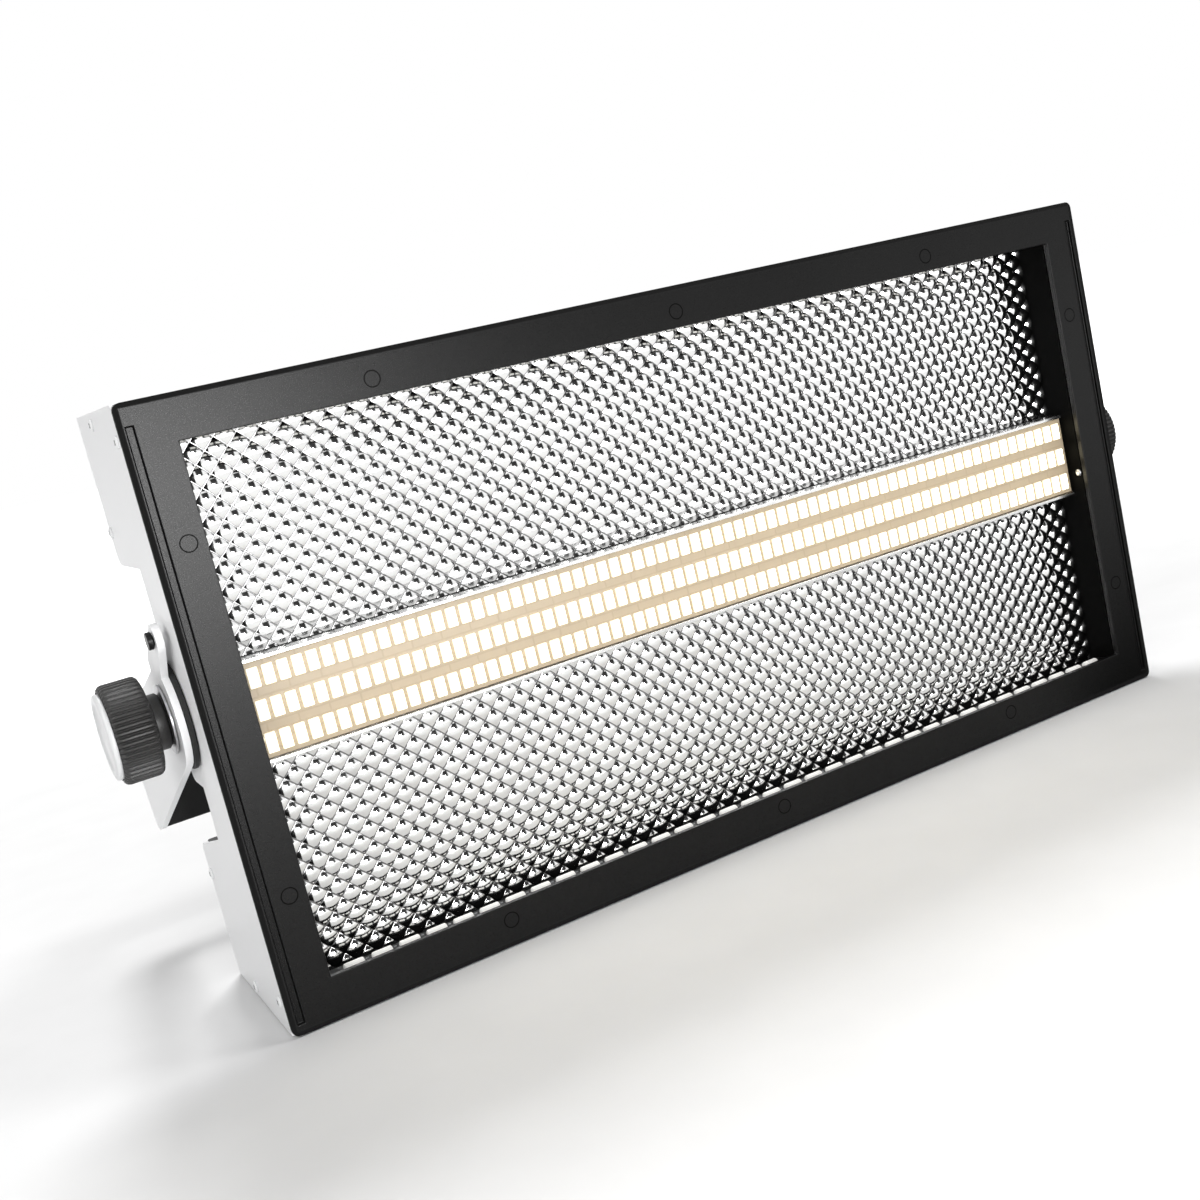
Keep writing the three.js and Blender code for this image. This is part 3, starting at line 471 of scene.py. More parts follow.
PLAIN = {
    "front_frame": ("frame", 0.35),
    # The side panels' pale look is painted sheen over black paint
    "side_panel_left": ("pale", 0.30),
    "side_panel_right": ("pale", 0.30),
    "top_cover": ("cover", 0.30),
    "bottom_cover": ("cover", 0.30),
    "bay_floor_upper": ("cover", 0.25),
    "bay_roof_lower": ("cover", 0.25),
    "rear_panel_upper": ("cover", 0.25),
    "rear_panel_lower": ("cover", 0.25),
    "inner_chassis": ("inner", 0.20),
    "end_wall_left": ("inner", 0.20),
    "end_wall_right": ("inner", 0.20),
    "led_core": ("bar", 0.18),
    "heat_sink": ("alloy", 0.20),
    "fan_frame_left": ("fan", 0.50),
    "fan_frame_right": ("fan", 0.50),
    "fan_guard_left": ("guard", 0.40),
    "fan_guard_right": ("guard", 0.40),
    "power_supply": ("alloy", 0.50),
    "driver_board": ("green", 0.20),
    "control_board": ("green", 0.20),
    "menu_button_1": ("button", 0.50),
    "menu_button_2": ("button", 0.50),
    "menu_button_3": ("button", 0.50),
    "menu_button_4": ("button", 0.50),
    "power_inlet": ("blue", 0.45),
    "power_outlet": ("grey", 0.45),
    "dmx_in": ("black", 0.45),
    "dmx_out": ("black", 0.45),
    "dmx_latch": ("zinc", 0.30),
    "fuse_holder": ("black", 0.40),
    "fuse_cap": ("black", 0.35),
    "safety_eye": ("zinc", 0.45),
    "pivot_stud_left": ("zinc", 0.30),
    "pivot_stud_right": ("zinc", 0.30),
    "friction_disc_left": ("rubber", 0.25),
    "friction_disc_right": ("rubber", 0.25),
    # The yoke arms' pale look is painted sheen over black paint
    "yoke_arm_left": ("pale", 0.50),
    "yoke_arm_right": ("pale", 0.50),
    "stop_screw_left": ("screw", 0.35),
    "stop_screw_right": ("screw", 0.35),
    "yoke_crossbar": ("crossbar", 0.50),
    "washer_left": ("zinc", 0.20),
    "washer_right": ("zinc", 0.20),
    "display_window": ("glass", 0.35),
}
for node, (look, width) in PLAIN.items():
    solid = NODES[node]
    solid.data.materials.clear()
    solid.data.materials.append(LOOKS[look])
    soften(solid, width * MM)


# Reflectors: polished sheets pressed with a lattice of round domes

DOME_RADIUS = 7.2 * MM
DOME_TOP = FRONT + 0.0176
SHEET_HALF = 0.1890

# Grid lines across one dome, as shares of the pitch, and how far the grid reaches from the middle
DOME_STEPS = (-0.44, -0.24, 0.0, 0.24, 0.44, 0.5)
GRID_REACH = 0.48

# What the grid is larger than the sheet before it is cut, how near to a cut a point counts as on it, and from
# which share of the way to a ridge a point counts as on the ridge
CUT_SPARE = 0.0015
CUT_TOUCH = 1e-7
RIDGE_SHARE = 0.998

# Distances from the middle height, then where the sheet's back and its flange start and stop along Y
SHEET_NEAR = 0.0188
SHEET_FAR = 0.0985
FLANGE_FAR = 0.0997
BACK_DEEP = (FRONT + 0.0189, FRONT + 0.0194)
FLANGE_DEEP = (FRONT + 0.0029, FRONT + 0.0192)
FLANGE_EDGE = 0.0003


def lattice(x, z):
    """Counts of domes along the two diagonals, from the one at DOME_PLACE."""
    along = (x - DOME_PLACE[0]) / DOME_PITCH
    across = (z - DOME_PLACE[1]) / DOME_PITCH
    return along + across, along - across


def dome_offsets(x, z):
    """Offsets from the middle of the nearest dome, and how near the point is to a ridge (1 on it)."""
    u, v = lattice(x, z)
    du, dv = u - np.round(u), v - np.round(v)
    return (du + dv) * CELL, (du - dv) * CELL, 2 * np.maximum(np.abs(du), np.abs(dv))


def dome_grid(low, high):
    """Points and quads of a flat grid along the lattice, a little larger than the sheet."""
    reach = int(GRID_REACH / DOME_PITCH) + 2
    steps = np.array(sorted({round(k + step, 4) for k in range(-reach, reach) for step in DOME_STEPS}))
    u, v = np.meshgrid(steps, steps)
    shift_u, shift_v = np.round(lattice(0.0, (low + high) / 2))
    u, v = u + shift_u, v + shift_v
    x = DOME_PLACE[0] + (u + v) * CELL
    z = DOME_PLACE[1] + (u - v) * CELL
    index = np.arange(u.size).reshape(u.shape)
    quads = np.stack([index[:-1, :-1], index[:-1, 1:], index[1:, 1:], index[1:, :-1]], -1).reshape(-1, 4)
    middle_x, middle_z = x.ravel()[quads].mean(1), z.ravel()[quads].mean(1)
    inside = np.abs(middle_x) < SHEET_HALF + CUT_SPARE
    inside &= (middle_z > low - CUT_SPARE) & (middle_z < high + CUT_SPARE)
    quads = quads[inside]
    used = np.unique(quads)
    renumber = np.zeros(u.size, int)
    renumber[used] = np.arange(used.size)
    points = np.stack([x.ravel()[used], np.zeros(used.size), z.ravel()[used]], -1)
    return points, renumber[quads]


def cut_to_outline(mesh, low, high):
    bm = bmesh.new()
    bm.from_mesh(mesh)
    for place, normal in (
        ((SHEET_HALF, 0, 0), (1, 0, 0)), ((-SHEET_HALF, 0, 0), (-1, 0, 0)),
        ((0, 0, high), (0, 0, 1)), ((0, 0, low), (0, 0, -1)),
    ):
        parts = bm.verts[:] + bm.edges[:] + bm.faces[:]
        bmesh.ops.bisect_plane(
            bm, geom=parts, plane_co=place, plane_no=normal, clear_outer=True, dist=CUT_TOUCH
        )
    bmesh.ops.triangulate(bm, faces=bm.faces)
    bm.to_mesh(mesh)
    bm.free()


def dome_sheet(name, low, high):
    """Height field over the lattice's own grid, cut to the sheet's outline, with its exact normals."""
    points, quads = dome_grid(low, high)
    mesh = bpy.data.meshes.new(name)
    mesh.from_pydata(points.tolist(), [], quads.tolist())
    cut_to_outline(mesh, low, high)
    places = np.empty(len(mesh.vertices) * 3)
    mesh.vertices.foreach_get("co", places)
    places = places.reshape(-1, 3)
    dx, dz, ridge = dome_offsets(places[:, 0], places[:, 2])
    rise = np.sqrt(DOME_RADIUS**2 - dx**2 - dz**2)
    places[:, 1] = DOME_TOP + (DOME_RADIUS - rise)
    mesh.vertices.foreach_set("co", places.ravel())
    normals = np.stack([dx, -rise, dz], -1)
    normals[ridge > RIDGE_SHARE] = FORWARD
    normals /= np.linalg.norm(normals, axis=1)[:, None]
    mesh.update()
    if mesh.polygons[0].normal.y > 0:
        mesh.flip_normals()
    smooth_faces(mesh)
    mesh.normals_split_custom_set_from_vertices(normals.tolist())
    mesh.materials.append(LOOKS["mirror"])
    obj = show(name, mesh)
    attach(obj, "housing")
    return obj


def reflector(word, side):
    """One domed sheet, its plain back, and the flange bent up along its far edge, coloured black as painted
    shade.
    """
    near, far, fold = (CENTRE_Z + side * value for value in (SHEET_NEAR, SHEET_FAR, FLANGE_FAR))
    low, high = span(near, far)
    sheet = dome_sheet(f"dish_sheet_{word}", low, high)
    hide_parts(f"reflector_{word}")
    bm = bmesh.new()
    add_box(bm, (-SHEET_HALF, BACK_DEEP[0], low), (SHEET_HALF, BACK_DEEP[1], high), THIN_EDGE)
    piece(f"sheet_back_{word}", bm, "housing", "bar")
    low, high = span(far, fold)
    bm = bmesh.new()
    add_box(bm, (-SHEET_HALF, FLANGE_DEEP[0], low), (SHEET_HALF, FLANGE_DEEP[1], high), FLANGE_EDGE)
    # Painted shade: the flange of the mirror sheet takes the black inner look
    piece(f"sheet_flange_{word}", bm, "housing", "inner")


reflector("upper", 1)
reflector("lower", -1)


# LED board: single packages in three rows

LED_COUNT = 72
LED_HALF_WIDE = 1.9 * MM
LED_HALF_TALL = 3.6 * MM
LED_SPAN = 0.3740
ROW_PITCH = 0.0116
BOARD_FRONT = FRONT + 0.0112
PACKAGE_FRONT = FRONT + 0.0102
PACKAGE_SUNK = 0.0001
FACE_FRONT = FRONT + 0.0100
FACE_REAR = FRONT + 0.0104

# What a lit face leaves free of its package, along X and along Z, and the rounded edges of both
FACE_MARGIN_X = 0.0003
FACE_MARGIN_Z = 0.0004
PACKAGE_EDGE = 0.0002
FACE_EDGE = 0.00015


def led_board():
    """The board, and on it the packages and their lit faces."""
    plate_low, plate_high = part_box("led_board")
    bm = bmesh.new()
    add_box(bm, (plate_low.x, BOARD_FRONT, plate_low.z), plate_high, THIN_EDGE)
    led_plate = piece("led_plate", bm, "housing", "cream")
    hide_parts("led_board")
    bodies = bmesh.new()
    faces = bmesh.new()
    for row in (-1, 0, 1):
        z = CENTRE_Z + row * ROW_PITCH
        low_z, high_z = z - LED_HALF_TALL, z + LED_HALF_TALL
        for i in range(LED_COUNT):
            x = (i / (LED_COUNT - 1) - 0.5) * (LED_SPAN - 2 * LED_HALF_WIDE)
            low_x, high_x = x - LED_HALF_WIDE, x + LED_HALF_WIDE
            low = (low_x, PACKAGE_FRONT, low_z)
            high = (high_x, BOARD_FRONT + PACKAGE_SUNK, high_z)
            add_box(bodies, low, high, PACKAGE_EDGE, 1)
            low = (low_x + FACE_MARGIN_X, FACE_FRONT, low_z + FACE_MARGIN_Z)
            high = (high_x - FACE_MARGIN_X, FACE_REAR, high_z - FACE_MARGIN_Z)
            add_box(faces, low, high, FACE_EDGE, 1)
    piece("led_packages", bodies, "housing", "led_body", False)
    piece("led_faces", faces, "housing", "led", False)


led_board()


# Edge strips: round-topped lenses on a dark board, with a pair of chips between two lenses

STRIP_THICK = 0.0016
LENS_COUNT = 35
LENS_PITCH = 0.01053
LENS_HALF = 0.0037
LENS_ROUND = 0.0019
LENS_END = 0.0005
LENS_STEPS = 12

# A lens's sections: the distance from its middle, and the share of its full radius there
LENS_SECTIONS = [
    (-LENS_HALF, 0.78), (-LENS_HALF + LENS_END * 0.35, 0.93), (-LENS_HALF + LENS_END, 1.0),
    (LENS_HALF - LENS_END, 1.0), (LENS_HALF - LENS_END * 0.35, 0.93), (LENS_HALF, 0.78),
]
CHIP_STEP = 0.0012
CHIP_HALF_LONG = 0.0005
CHIP_HALF_WIDE = 0.0004
CHIP_TALL = 0.0005


def add_lens(bm, x, y, seat, side):
    """Half a rod with drawn-in ends, standing on the board."""
    rings = []
    for along, share in LENS_SECTIONS:
        ring = []
        for k in range(LENS_STEPS + 1):
            angle = math.pi * k / LENS_STEPS
            across = y - LENS_ROUND * share * math.cos(angle)
            up = seat - side * LENS_ROUND * share * math.sin(angle)
            ring.append(bm.verts.new((x + along, across, up)))
        rings.append(ring)
    for a, b in zip(rings, rings[1:]):
        for k in range(LENS_STEPS):
            bm.faces.new((a[k], a[k + 1], b[k + 1], b[k]))
        bm.faces.new((a[-1], a[0], b[0], b[-1]))
    bm.faces.new(rings[0])
    bm.faces.new(list(reversed(rings[-1])))


def edge_strip(name, node, side):
    low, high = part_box(node)
    seat = low.z + STRIP_THICK if side < 0 else high.z - STRIP_THICK
    under = low.z if side < 0 else high.z
    board_low, board_high = span(seat, under)
    bm = bmesh.new()
    add_box(bm, (low.x, low.y, board_low), (high.x, high.y, board_high), THIN_EDGE)
    base = piece(name + "_board", bm, "housing", "black_board")
    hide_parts(node)
    lenses = bmesh.new()
    chips = bmesh.new()
    middle = (low.y + high.y) / 2
    chip_low, chip_high = span(seat, seat - side * CHIP_TALL)
    for i in range(LENS_COUNT):
        x = (i - (LENS_COUNT - 1) / 2) * LENS_PITCH
        add_lens(lenses, x, middle, seat, side)
        if i == LENS_COUNT - 1:
            continue
        chip_x = x + LENS_PITCH / 2
        for step in (-CHIP_STEP, CHIP_STEP):
            near = (chip_x - CHIP_HALF_LONG, middle + step - CHIP_HALF_WIDE, chip_low)
            far = (chip_x + CHIP_HALF_LONG, middle + step + CHIP_HALF_WIDE, chip_high)
            add_box(chips, near, far)
    turned_piece(name + "_lenses", lenses, "housing", "lens")
    piece(name + "_chips", chips, "housing", "grey", False)


edge_strip("edge_strip_upper", "edge_led_strip_upper", 1)
edge_strip("edge_strip_lower", "edge_led_strip_lower", -1)


# Knobs: fluted grip, neck, and an end cap let into the face, drawn pale as painted highlight

KNOB_RADIUS = 0.0178
NECK_LONG = 0.0047
CAP_SUNK = 0.0009
CAP_SIDES = 72
KNOB_SOFT = 0.00012
KNOB_SHARP = 50.0

# The flutes: their depth, the steps that draw one, how much they are widened and how flat their floor is.
# Where the grip is more than FLUTE_EDGE narrower than its full radius, it has none.
FLUTES = 54
FLUTE_DEEP = 0.0008
FLUTE_STEPS = 6
FLUTE_WIDENED = 0.15
FLUTE_POWER = 0.8
FLUTE_EDGE = 0.0012


def fluted(radius, angle, along):
    """The grip's radius at an angle."""
    if radius < KNOB_RADIUS - FLUTE_EDGE or along < NECK_LONG:
        return radius
    phase = (angle * FLUTES / (2 * math.pi)) % 1.0
    dip = max(0.0, math.cos(2 * math.pi * (phase - 0.5)) + FLUTE_WIDENED) / (1.0 + FLUTE_WIDENED)
    return radius - FLUTE_DEEP * dip**FLUTE_POWER


def knob_profile(length):
    """The neck, the grip with its rounded rims, and the seat of the cap in its outer face."""
    neck, full = NECK_LONG, KNOB_RADIUS
    return [
        (0.0, 0.0046), (0.0, 0.0092), (0.0008, 0.0100), (neck - 0.0008, 0.0100), (neck, 0.0112),
        (neck, full - 0.0022), (neck + 0.0004, full - 0.0009), (neck + 0.0012, full - 0.0002),
        (neck + 0.0022, full), (length - 0.0020, full), (length - 0.0010, full - 0.0003),
        (length - 0.0003, full - 0.0010), (length, full - 0.0022),
        (length, 0.0162), (length - 0.0004, 0.0159), (length - 0.0010, 0.0158), (length - 0.0010, 0.0046),
    ]


def cap_profile(tall):
    """A disc with a rounded rim and a shallow recess in its face."""
    return [
        (0.0, 0.0), (0.0, 0.0150), (tall - 0.0011, 0.0154), (tall - 0.0004, 0.0151), (tall, 0.0143),
        (tall, 0.0119), (tall - 0.0004, 0.0115), (tall - 0.0004, 0.0),
    ]


def knob(word, side):
    low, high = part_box(f"knob_{word}")
    inner = low.x if side > 0 else high.x
    outer = high.x if side > 0 else low.x
    axis = (side, 0, 0)
    bm = bmesh.new()
    root = (inner, PIVOT.y, PIVOT.z)
    add_lathe(bm, knob_profile(abs(outer - inner)), root, axis, FLUTES * FLUTE_STEPS, fluted)
    body = turned_piece(f"knob_grip_{word}", bm, f"knob_{word}", "knob")
    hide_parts(f"knob_{word}")
    cap_low, cap_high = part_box(f"knob_cap_{word}")
    face = cap_high.x if side > 0 else cap_low.x
    bm = bmesh.new()
    root = (outer - side * CAP_SUNK, PIVOT.y, PIVOT.z)
    add_lathe(bm, cap_profile(abs(face - outer) + CAP_SUNK), root, axis, CAP_SIDES)
    # The cap's pale look is painted highlight
    cap = turned_piece(f"knob_disc_{word}", bm, f"knob_{word}", "cap")
    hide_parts(f"knob_cap_{word}")
    soften_turned(body, KNOB_SOFT, KNOB_SHARP)
    soften_turned(cap, KNOB_SOFT, KNOB_SHARP)


knob("left", -1)
knob("right", 1)


# Fan rotors: hub with rounded rims, and curved blades

ROTOR_X = 0.088
HUB_FRONT = 0.0199
HUB_REAR = 0.0319
HUB_PROFILE = [
    (0.0, 0.0), (0.0, 0.0140), (0.0006, 0.0154), (0.0016, 0.0160),
    (0.0112, 0.0160), (0.0120, 0.0154), (0.0120, 0.0),
]
HUB_SIDES = 56

# The blades run from BLADE_ROOT to BLADE_TIP in BLADE_STEPS steps, and are as many steps wide. A pair is the
# value at the root and what it gains up to the tip, and the twist is in degrees.
BLADES = 7
BLADE_STEPS = 8
BLADE_ROOT = 0.0152
BLADE_TIP = 0.0362
BLADE_TWIST = (42, -14)
BLADE_CHORD = (0.0150, 0.0030)
BLADE_SWEEP = 0.22
BLADE_SWEEP_POWER = 1.4
BLADE_CAMBER = 0.0016
BLADE_HALF_DEEP = 0.0058
BLADE_THICK = 0.0011
BLADE_SOFT = 0.00018
BLADE_SHARP = 40.0


def blade_point(centre_x, start, i, j):
    """A point of a blade, i steps out from its root and j steps across it."""
    out = i / BLADE_STEPS
    radius = BLADE_ROOT + (BLADE_TIP - BLADE_ROOT) * i / BLADE_STEPS
    twist = math.radians(BLADE_TWIST[0] + BLADE_TWIST[1] * out)
    chord = BLADE_CHORD[0] + BLADE_CHORD[1] * out
    sweep = BLADE_SWEEP * out**BLADE_SWEEP_POWER
    share = j / BLADE_STEPS - 0.5
    camber = BLADE_CAMBER * (1 - 4 * share * share)
    around = chord * share * math.cos(twist) - camber * math.sin(twist)
    axial = chord * share * math.sin(twist) + camber * math.cos(twist)
    angle = start + sweep + around / radius
    y = (HUB_FRONT + HUB_REAR) / 2 + max(-BLADE_HALF_DEEP, min(BLADE_HALF_DEEP, axial))
    return centre_x + radius * math.cos(angle), y, CENTRE_Z - radius * math.sin(angle)


def rotor(word, side):
    node = f"fan_rotor_{word}"
    centre_x = side * ROTOR_X
    bm = bmesh.new()
    add_lathe(bm, HUB_PROFILE, (centre_x, HUB_FRONT, CENTRE_Z), BACKWARD, HUB_SIDES)
    points = range(BLADE_STEPS + 1)
    for blade in range(BLADES):
        start = 2 * math.pi * blade / BLADES
        verts = [[bm.verts.new(blade_point(centre_x, start, i, j)) for j in points] for i in points]
        for a, b in zip(verts, verts[1:]):
            for j in range(BLADE_STEPS):
                bm.faces.new((a[j], b[j], b[j + 1], a[j + 1]))
    obj = piece(f"fan_blades_{word}", bm, node, "fan")
    solid = obj.modifiers.new("thick", "SOLIDIFY")
    solid.thickness = BLADE_THICK
    solid.offset = 0.0
    soften_turned(obj, BLADE_SOFT, BLADE_SHARP)
    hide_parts(node)


rotor("left", -1)
rotor("right", 1)


# Small fasteners and marks. A screw's size is its head's radius and height.

SCREW_SIDES = 28
SIDE_SCREW = (0.0022, 0.0009)
LOWER_BAY_SCREW = (0.0026, 0.0010)
UPPER_BAY_SCREW = (0.0022, 0.0009)
CHAMBER_SCREW = (0.0016, 0.0009)
SOCKET_SCREW = (0.0016, 0.0007)

# A cross recess: its arms as shares of the head's radius, how far it stands off the head, and its depth
RECESS_HALF_LONG = 0.5
RECESS_HALF_WIDE = 0.11
RECESS_CLEAR = 0.00003
RECESS_DEEP = 0.0002
CORNERS = ((-1, -1), (1, -1), (1, 1), (-1, 1))

# Screws of the side panels, in millimetres from the middle height and behind the front face
SIDE_PANEL_X = 0.2067
SIDE_SCREWS = ((105.7, 50.2), (98.1, 6.9), (67.1, 78.4))

# Screws of the rear panels and in the light chamber's end walls, in metres
LOWER_BAY_X = (-0.19, -0.1, 0.0, 0.1, 0.19)
LOWER_BAY_Z = (0.0045, 0.0500)
UPPER_BAY_X = (-0.198, -0.122, -0.055, 0.095, 0.136, 0.172)
UPPER_BAY_Z = (0.1705, 0.2140)
CHAMBER_SCREW_X = 0.1893
CHAMBER_SCREW_Y = FRONT + 0.0048
CHAMBER_SCREW_Z = CENTRE_Z - 0.0084

# Marks of the welded studs on the frame, in millimetres from its middle: on its ends and on its long sides
END_MARK = (195.3, 61.7)
LONG_MARK = (122.0, 100.3)
MARK_PROFILE = [(0.0, 0.00262), (0.000015, 0.00268), (0.00002, 0.00282), (0.000015, 0.00296), (0.0, 0.00302)]
MARK_SIDES = 48


def screw(bm, point, axis, size):
    """Pan head."""
    radius, tall = size
    profile = [
        (0.0, 0.0), (0.0, radius), (tall * 0.45, radius * 0.98), (tall * 0.8, radius * 0.8),
        (tall, radius * 0.45), (tall, 0.0),
    ]
    add_lathe(bm, profile, point, axis, SCREW_SIDES)


def recess(bm, point, axis, size):
    """Cross recess of a pan head, drawn as two crossed bars that show just above the head; their dark colour
    is painted shade of the recess.
    """
    radius, tall = size
    direction = Vector(axis).normalized()
    side = direction.orthogonal().normalized()
    other = direction.cross(side)
    base = Vector(point) + direction * (tall + RECESS_CLEAR)
    for long, wide in ((side, other), (other, side)):
        corners = [
            base + long * (a * radius * RECESS_HALF_LONG) + wide * (b * radius * RECESS_HALF_WIDE)
            for a, b in CORNERS
        ]
        upper = [bm.verts.new(corner) for corner in corners]
        lower = [bm.verts.new(corner - direction * RECESS_DEEP) for corner in corners]
        bm.faces.new(upper)
        for i in range(4):
            j = (i + 1) % 4
            bm.faces.new((upper[j], upper[i], lower[i], lower[j]))


def screw_set(name, screws, head_look, recess_shade_look):
    """Heads and recesses of (point, axis, size) screws in the housing."""
    heads = bmesh.new()
    slots = bmesh.new()
    for point, axis, size in screws:
        screw(heads, point, axis, size)
        recess(slots, point, axis, size)
    turned_piece(f"{name}_screws", heads, "housing", head_look)
    # Painted shade: the recesses are dark bars on the heads
    piece(f"{name}_screw_recesses", slots, "housing", recess_shade_look, False)


side_places = [(side, sign, up, back) for side in (-1, 1) for sign in (-1, 1) for up, back in SIDE_SCREWS]
side_screws = [
    ((side * SIDE_PANEL_X, FRONT + back * MM, CENTRE_Z + sign * up * MM), (side, 0, 0), SIDE_SCREW)
    for side, sign, up, back in side_places
]
# The side screws' pale heads are painted sheen over black screws
screw_set("side", side_screws, "pale", "screw")

rear_screws = [((x, REAR, z), BACKWARD, LOWER_BAY_SCREW) for x in LOWER_BAY_X for z in LOWER_BAY_Z]
rear_screws += [((x, REAR, z), BACKWARD, UPPER_BAY_SCREW) for x in UPPER_BAY_X for z in UPPER_BAY_Z]
screw_set("rear", rear_screws, "screw", "inner")

marks = bmesh.new()
mark_places = [(a * END_MARK[0], b * END_MARK[1]) for a in (-1, 1) for b in (-1, 1)]
mark_places += [(a * LONG_MARK[0], b * LONG_MARK[1]) for a in (-1, 0, 1) for b in (-1, 1)]
for x, up in mark_places:
    add_lathe(marks, MARK_PROFILE, (x * MM, FRONT, CENTRE_Z + up * MM), FORWARD, MARK_SIDES)
turned_piece("stud_marks", marks, "housing", "inner")

chamber_heads = bmesh.new()
for side in (-1, 1):
    place = (side * CHAMBER_SCREW_X, CHAMBER_SCREW_Y, CHAMBER_SCREW_Z)
    screw(chamber_heads, place, (-side, 0, 0), CHAMBER_SCREW)
turned_piece("chamber_screws", chamber_heads, "housing", "zinc")


# Contacts in the sockets, and the screws at their flanges' corners

SOCKET_DEEP = 0.021
PIN_SUNK = 0.0005
PIN_CIRCLE = 0.0045
PIN_LONG = 0.0125
PIN_SIDES = 20
PIN_ROUNDING = 0.5
SOCKET_SCREW_X = 0.0098
SOCKET_SCREW_Z = 0.0122


def contacts(name, node, count, radius):
    low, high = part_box(node)
    x = (low.x + high.x) / 2
    z = (low.z + high.z) / 2
    bm = bmesh.new()
    for i in range(count):
        angle = math.pi / 2 + 2 * math.pi * i / count
        pin_x, pin_z = x + PIN_CIRCLE * math.cos(angle), z + PIN_CIRCLE * math.sin(angle)
        root = (pin_x, high.y - SOCKET_DEEP - PIN_SUNK, pin_z)
        add_lathe(bm, rod_profile(PIN_LONG, radius, radius * PIN_ROUNDING), root, BACKWARD, PIN_SIDES)
    turned_piece(name, bm, "housing", "brass")
    bm = bmesh.new()
    for a in (-1, 1):
        for b in (-1, 1):
            screw(bm, (x + a * SOCKET_SCREW_X, high.y, z + b * SOCKET_SCREW_Z), BACKWARD, SOCKET_SCREW)
    turned_piece(name + "_screws", bm, "housing", "zinc")


contacts("inlet_contacts", "power_inlet", 3, 0.0013)
contacts("outlet_contacts", "power_outlet", 3, 0.0013)
contacts("data_inlet_contacts", "dmx_in", 5, 0.0009)
contacts("data_outlet_contacts", "dmx_out", 5, 0.0009)


# Stage: floor, light and camera. The studio is white, with a dark doorway ahead and a dark side on the right.

WHITE = (1.0, 1.0, 1.0, 1.0)
DARK_STRENGTH = 0.03
SKY_STRENGTH = 0.38

# The dark side is where the cosine between a direction and SIDE_AIM is over SIDE_REACH
SIDE_AIM = Vector((0.996, 0.087, 0.0)).normalized()
SIDE_REACH = 0.79
SIDE_BLUR = 0.05

# The dark doorway: the direction of its middle, its own side and up, and half its width and height as a sine
DOOR_AIM = Vector((0.23, -0.925, 0.31)).normalized()
DOOR_SIDE = DOOR_AIM.cross(Vector((0, 0, 1))).normalized()
DOOR_UP = DOOR_SIDE.cross(DOOR_AIM).normalized()
DOOR_HALF = 0.29
DOOR_BLUR = 0.03

# The floor keeps the shadow up to FLOOR_NEAR from the light's foot, and is plain white beyond FLOOR_FAR
FLOOR_HALF = 9
FLOOR_DROP = 0.0004
FLOOR_DARK = (0.72, 0.72, 0.72)
FLOOR_LIGHT = (0.74, 0.74, 0.74)
FLOOR_NEAR = 0.55
FLOOR_FAR = 1.10

# Lamps: name, place, aim, width and height, and watts
LAMPS = (
    ("key", (-1.6, -0.9, 1.7), (0, 0, 0.1), (1.2, 1.2), 15.0),
    ("front", (-0.08, -1.55, 0.17), (-0.19, 0, 0.15), (0.6, 0.34), 15.0),
    ("fill", (1.1, -0.6, 1.9), (0, 0, 0.1), (0.6, 0.6), 12.0),
    ("top", (0.3, 1.0, 1.9), (0, 0, 0.1), (0.6, 0.6), 32.0),
)

# The camera, solved from points of the photograph: its place, and its right, up and backward directions
CAMERA_PLACE = (-0.2831, -0.5425, 0.2065)
CAMERA_AXES = ((0.84558, -0.48811, -0.21620), (0.27499, 0.05112, 0.96009), (-0.45757, -0.87129, 0.17745))


def dark_side(make, direction):
    """One toward the studio's dark side, and nought elsewhere."""
    toward = make.vectors("DOT_PRODUCT", direction, SIDE_AIM)
    return make.smooth(toward, SIDE_REACH - SIDE_BLUR, SIDE_REACH + SIDE_BLUR)


def floor_paper():
    """Paper that fades to plain white away from the light, for the camera and in mirrors. In mirrors it is
    dark toward the dark side."""
    make = Maker("floor_paper", roughness=0.9)
    make.two_tones(make.noise(PAPER_CLOUD), FLOOR_DARK, FLOOR_LIGHT)
    rays = make.add("ShaderNodeLightPath").outputs
    paper = make.surface.outputs[0]
    fade = make.smooth(make.vectors("LENGTH", make.place), FLOOR_NEAR, FLOOR_FAR)
    white = make.add("ShaderNodeEmission", {"Strength": fade}).outputs[0]
    faded = make.add("ShaderNodeAddShader", {0: paper, 1: white}).outputs[0]
    seen = make.maths("MAXIMUM", rays["Is Camera Ray"], rays["Is Glossy Ray"])
    from_light = make.vectors("SUBTRACT", make.place, (0.0, 0.0, CENTRE_Z))
    side = dark_side(make, make.vectors("NORMALIZE", from_light))
    dark = make.add("ShaderNodeEmission", {"Strength": DARK_STRENGTH}).outputs[0]
    shown = make.mix(make.maths("MULTIPLY", side, rays["Is Glossy Ray"]), make.mix(seen, paper, faded), dark)
    make.feed(shown, make.tree.nodes["Material Output"].inputs["Surface"])
    return make.material


def doorway(make, direction):
    """One across the studio's dark doorway, and nought beyond it."""
    edges = []
    for axis in (DOOR_SIDE, DOOR_UP):
        away = make.maths("ABSOLUTE", make.vectors("DOT_PRODUCT", direction, axis))
        edges.append(make.smooth(away, DOOR_HALF + DOOR_BLUR, DOOR_HALF - DOOR_BLUR))
    ahead = make.maths("GREATER_THAN", make.vectors("DOT_PRODUCT", direction, DOOR_AIM), 0.0)
    return make.maths("MULTIPLY", make.maths("MULTIPLY", *edges), ahead)


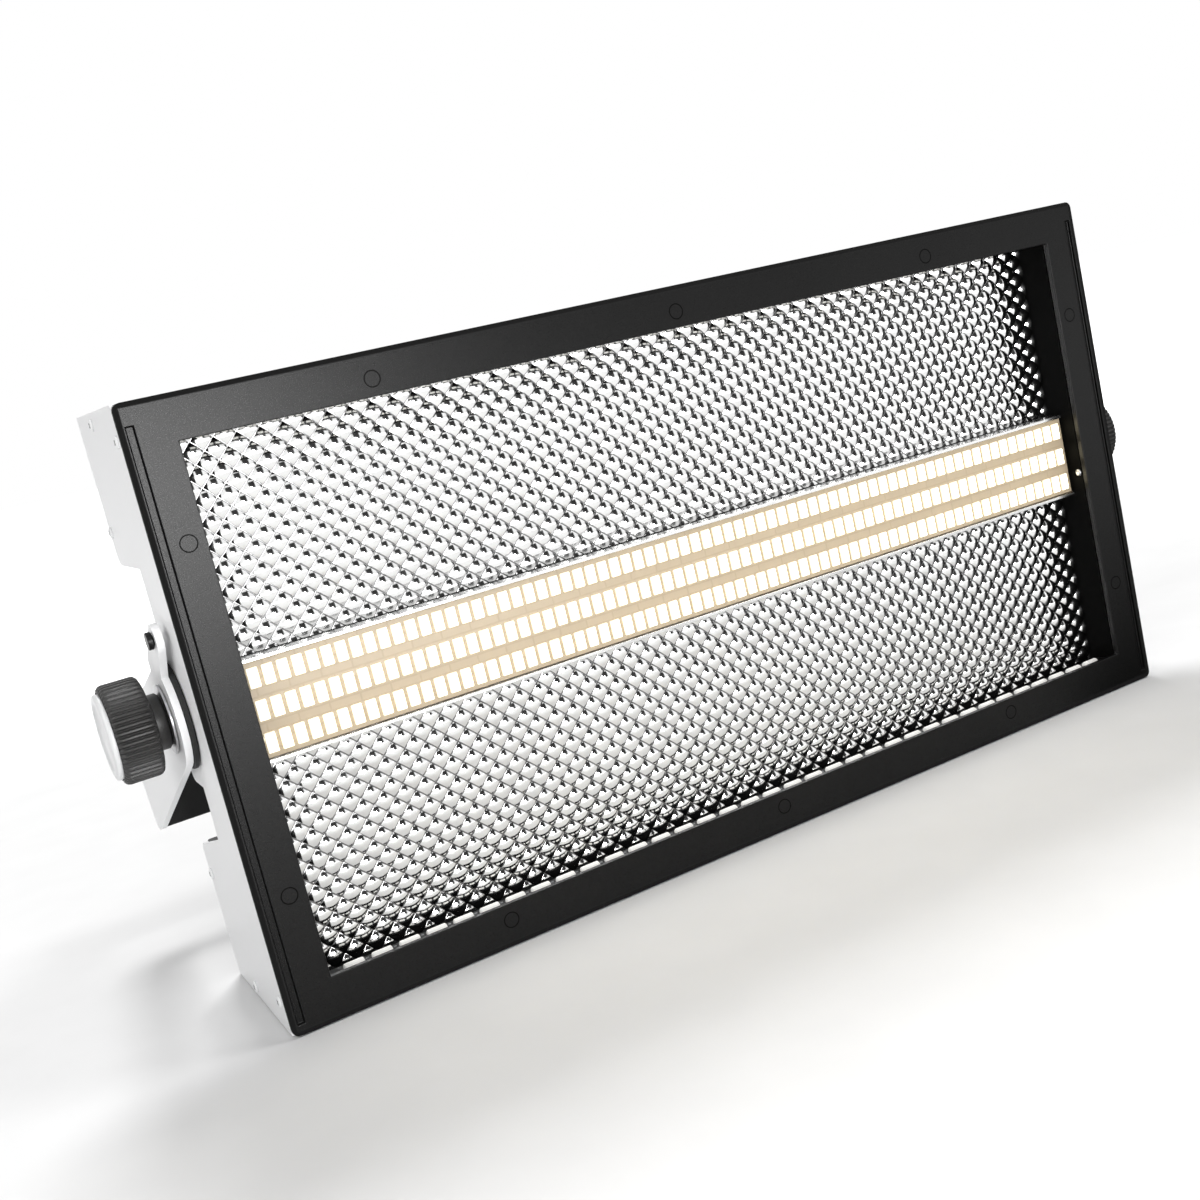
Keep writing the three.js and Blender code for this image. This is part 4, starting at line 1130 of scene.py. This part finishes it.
def studio():
    """White for the camera, a white room with dark places for metal and glass, and a dim sky otherwise."""
    world = bpy.data.worlds.new("studio")
    bpy.context.scene.world = world
    world.use_nodes = True
    world.node_tree.nodes.clear()
    make = Tree(world.node_tree)
    rays = make.add("ShaderNodeLightPath").outputs
    direction = make.add("ShaderNodeTexCoord").outputs["Generated"]
    dark = make.maths("MAXIMUM", doorway(make, direction), dark_side(make, direction))
    strength = make.add("ShaderNodeMapRange", {"Value": dark, "To Min": 1.0, "To Max": DARK_STRENGTH})
    sky, room, plain = (
        make.add("ShaderNodeBackground", {"Color": WHITE, "Strength": value}).outputs[0]
        for value in (SKY_STRENGTH, strength.outputs["Result"], 1.0)
    )
    mirrored = make.maths("MAXIMUM", rays["Is Glossy Ray"], rays["Is Transmission Ray"])
    shown = make.mix(rays["Is Camera Ray"], make.mix(mirrored, sky, room), plain)
    make.add("ShaderNodeOutputWorld", {"Surface": shown})


floor_mesh = bpy.data.meshes.new("floor")
floor_mesh.from_pydata([(a * FLOOR_HALF, b * FLOOR_HALF, 0) for a, b in CORNERS], [], [(0, 1, 2, 3)])
floor = show("floor", floor_mesh)
floor.location = (0, 0, -FLOOR_DROP)
floor_mesh.materials.append(floor_paper())
studio()

for name, place, aim, size, watts in LAMPS:
    lamp_data = bpy.data.lights.new(name, "AREA")
    lamp_data.shape = "RECTANGLE"
    lamp_data.size, lamp_data.size_y = size
    lamp_data.energy = watts
    lamp = show(name, lamp_data)
    lamp.location = place
    lamp.rotation_euler = (Vector(aim) - Vector(place)).to_track_quat("-Z", "Y").to_euler()

camera_data = bpy.data.cameras.new("camera")
camera_data.sensor_width = 36.0
camera_data.lens = 44.76
camera_data.shift_x = -0.0765
camera_data.shift_y = -0.005
camera_data.clip_start = 0.01
camera_data.clip_end = 60.0
camera = show("camera", camera_data)
camera.matrix_world = Matrix.Translation(CAMERA_PLACE) @ Matrix(CAMERA_AXES).transposed().to_4x4()
bpy.context.scene.camera = camera
bpy.context.scene.view_settings.view_transform = "Standard"
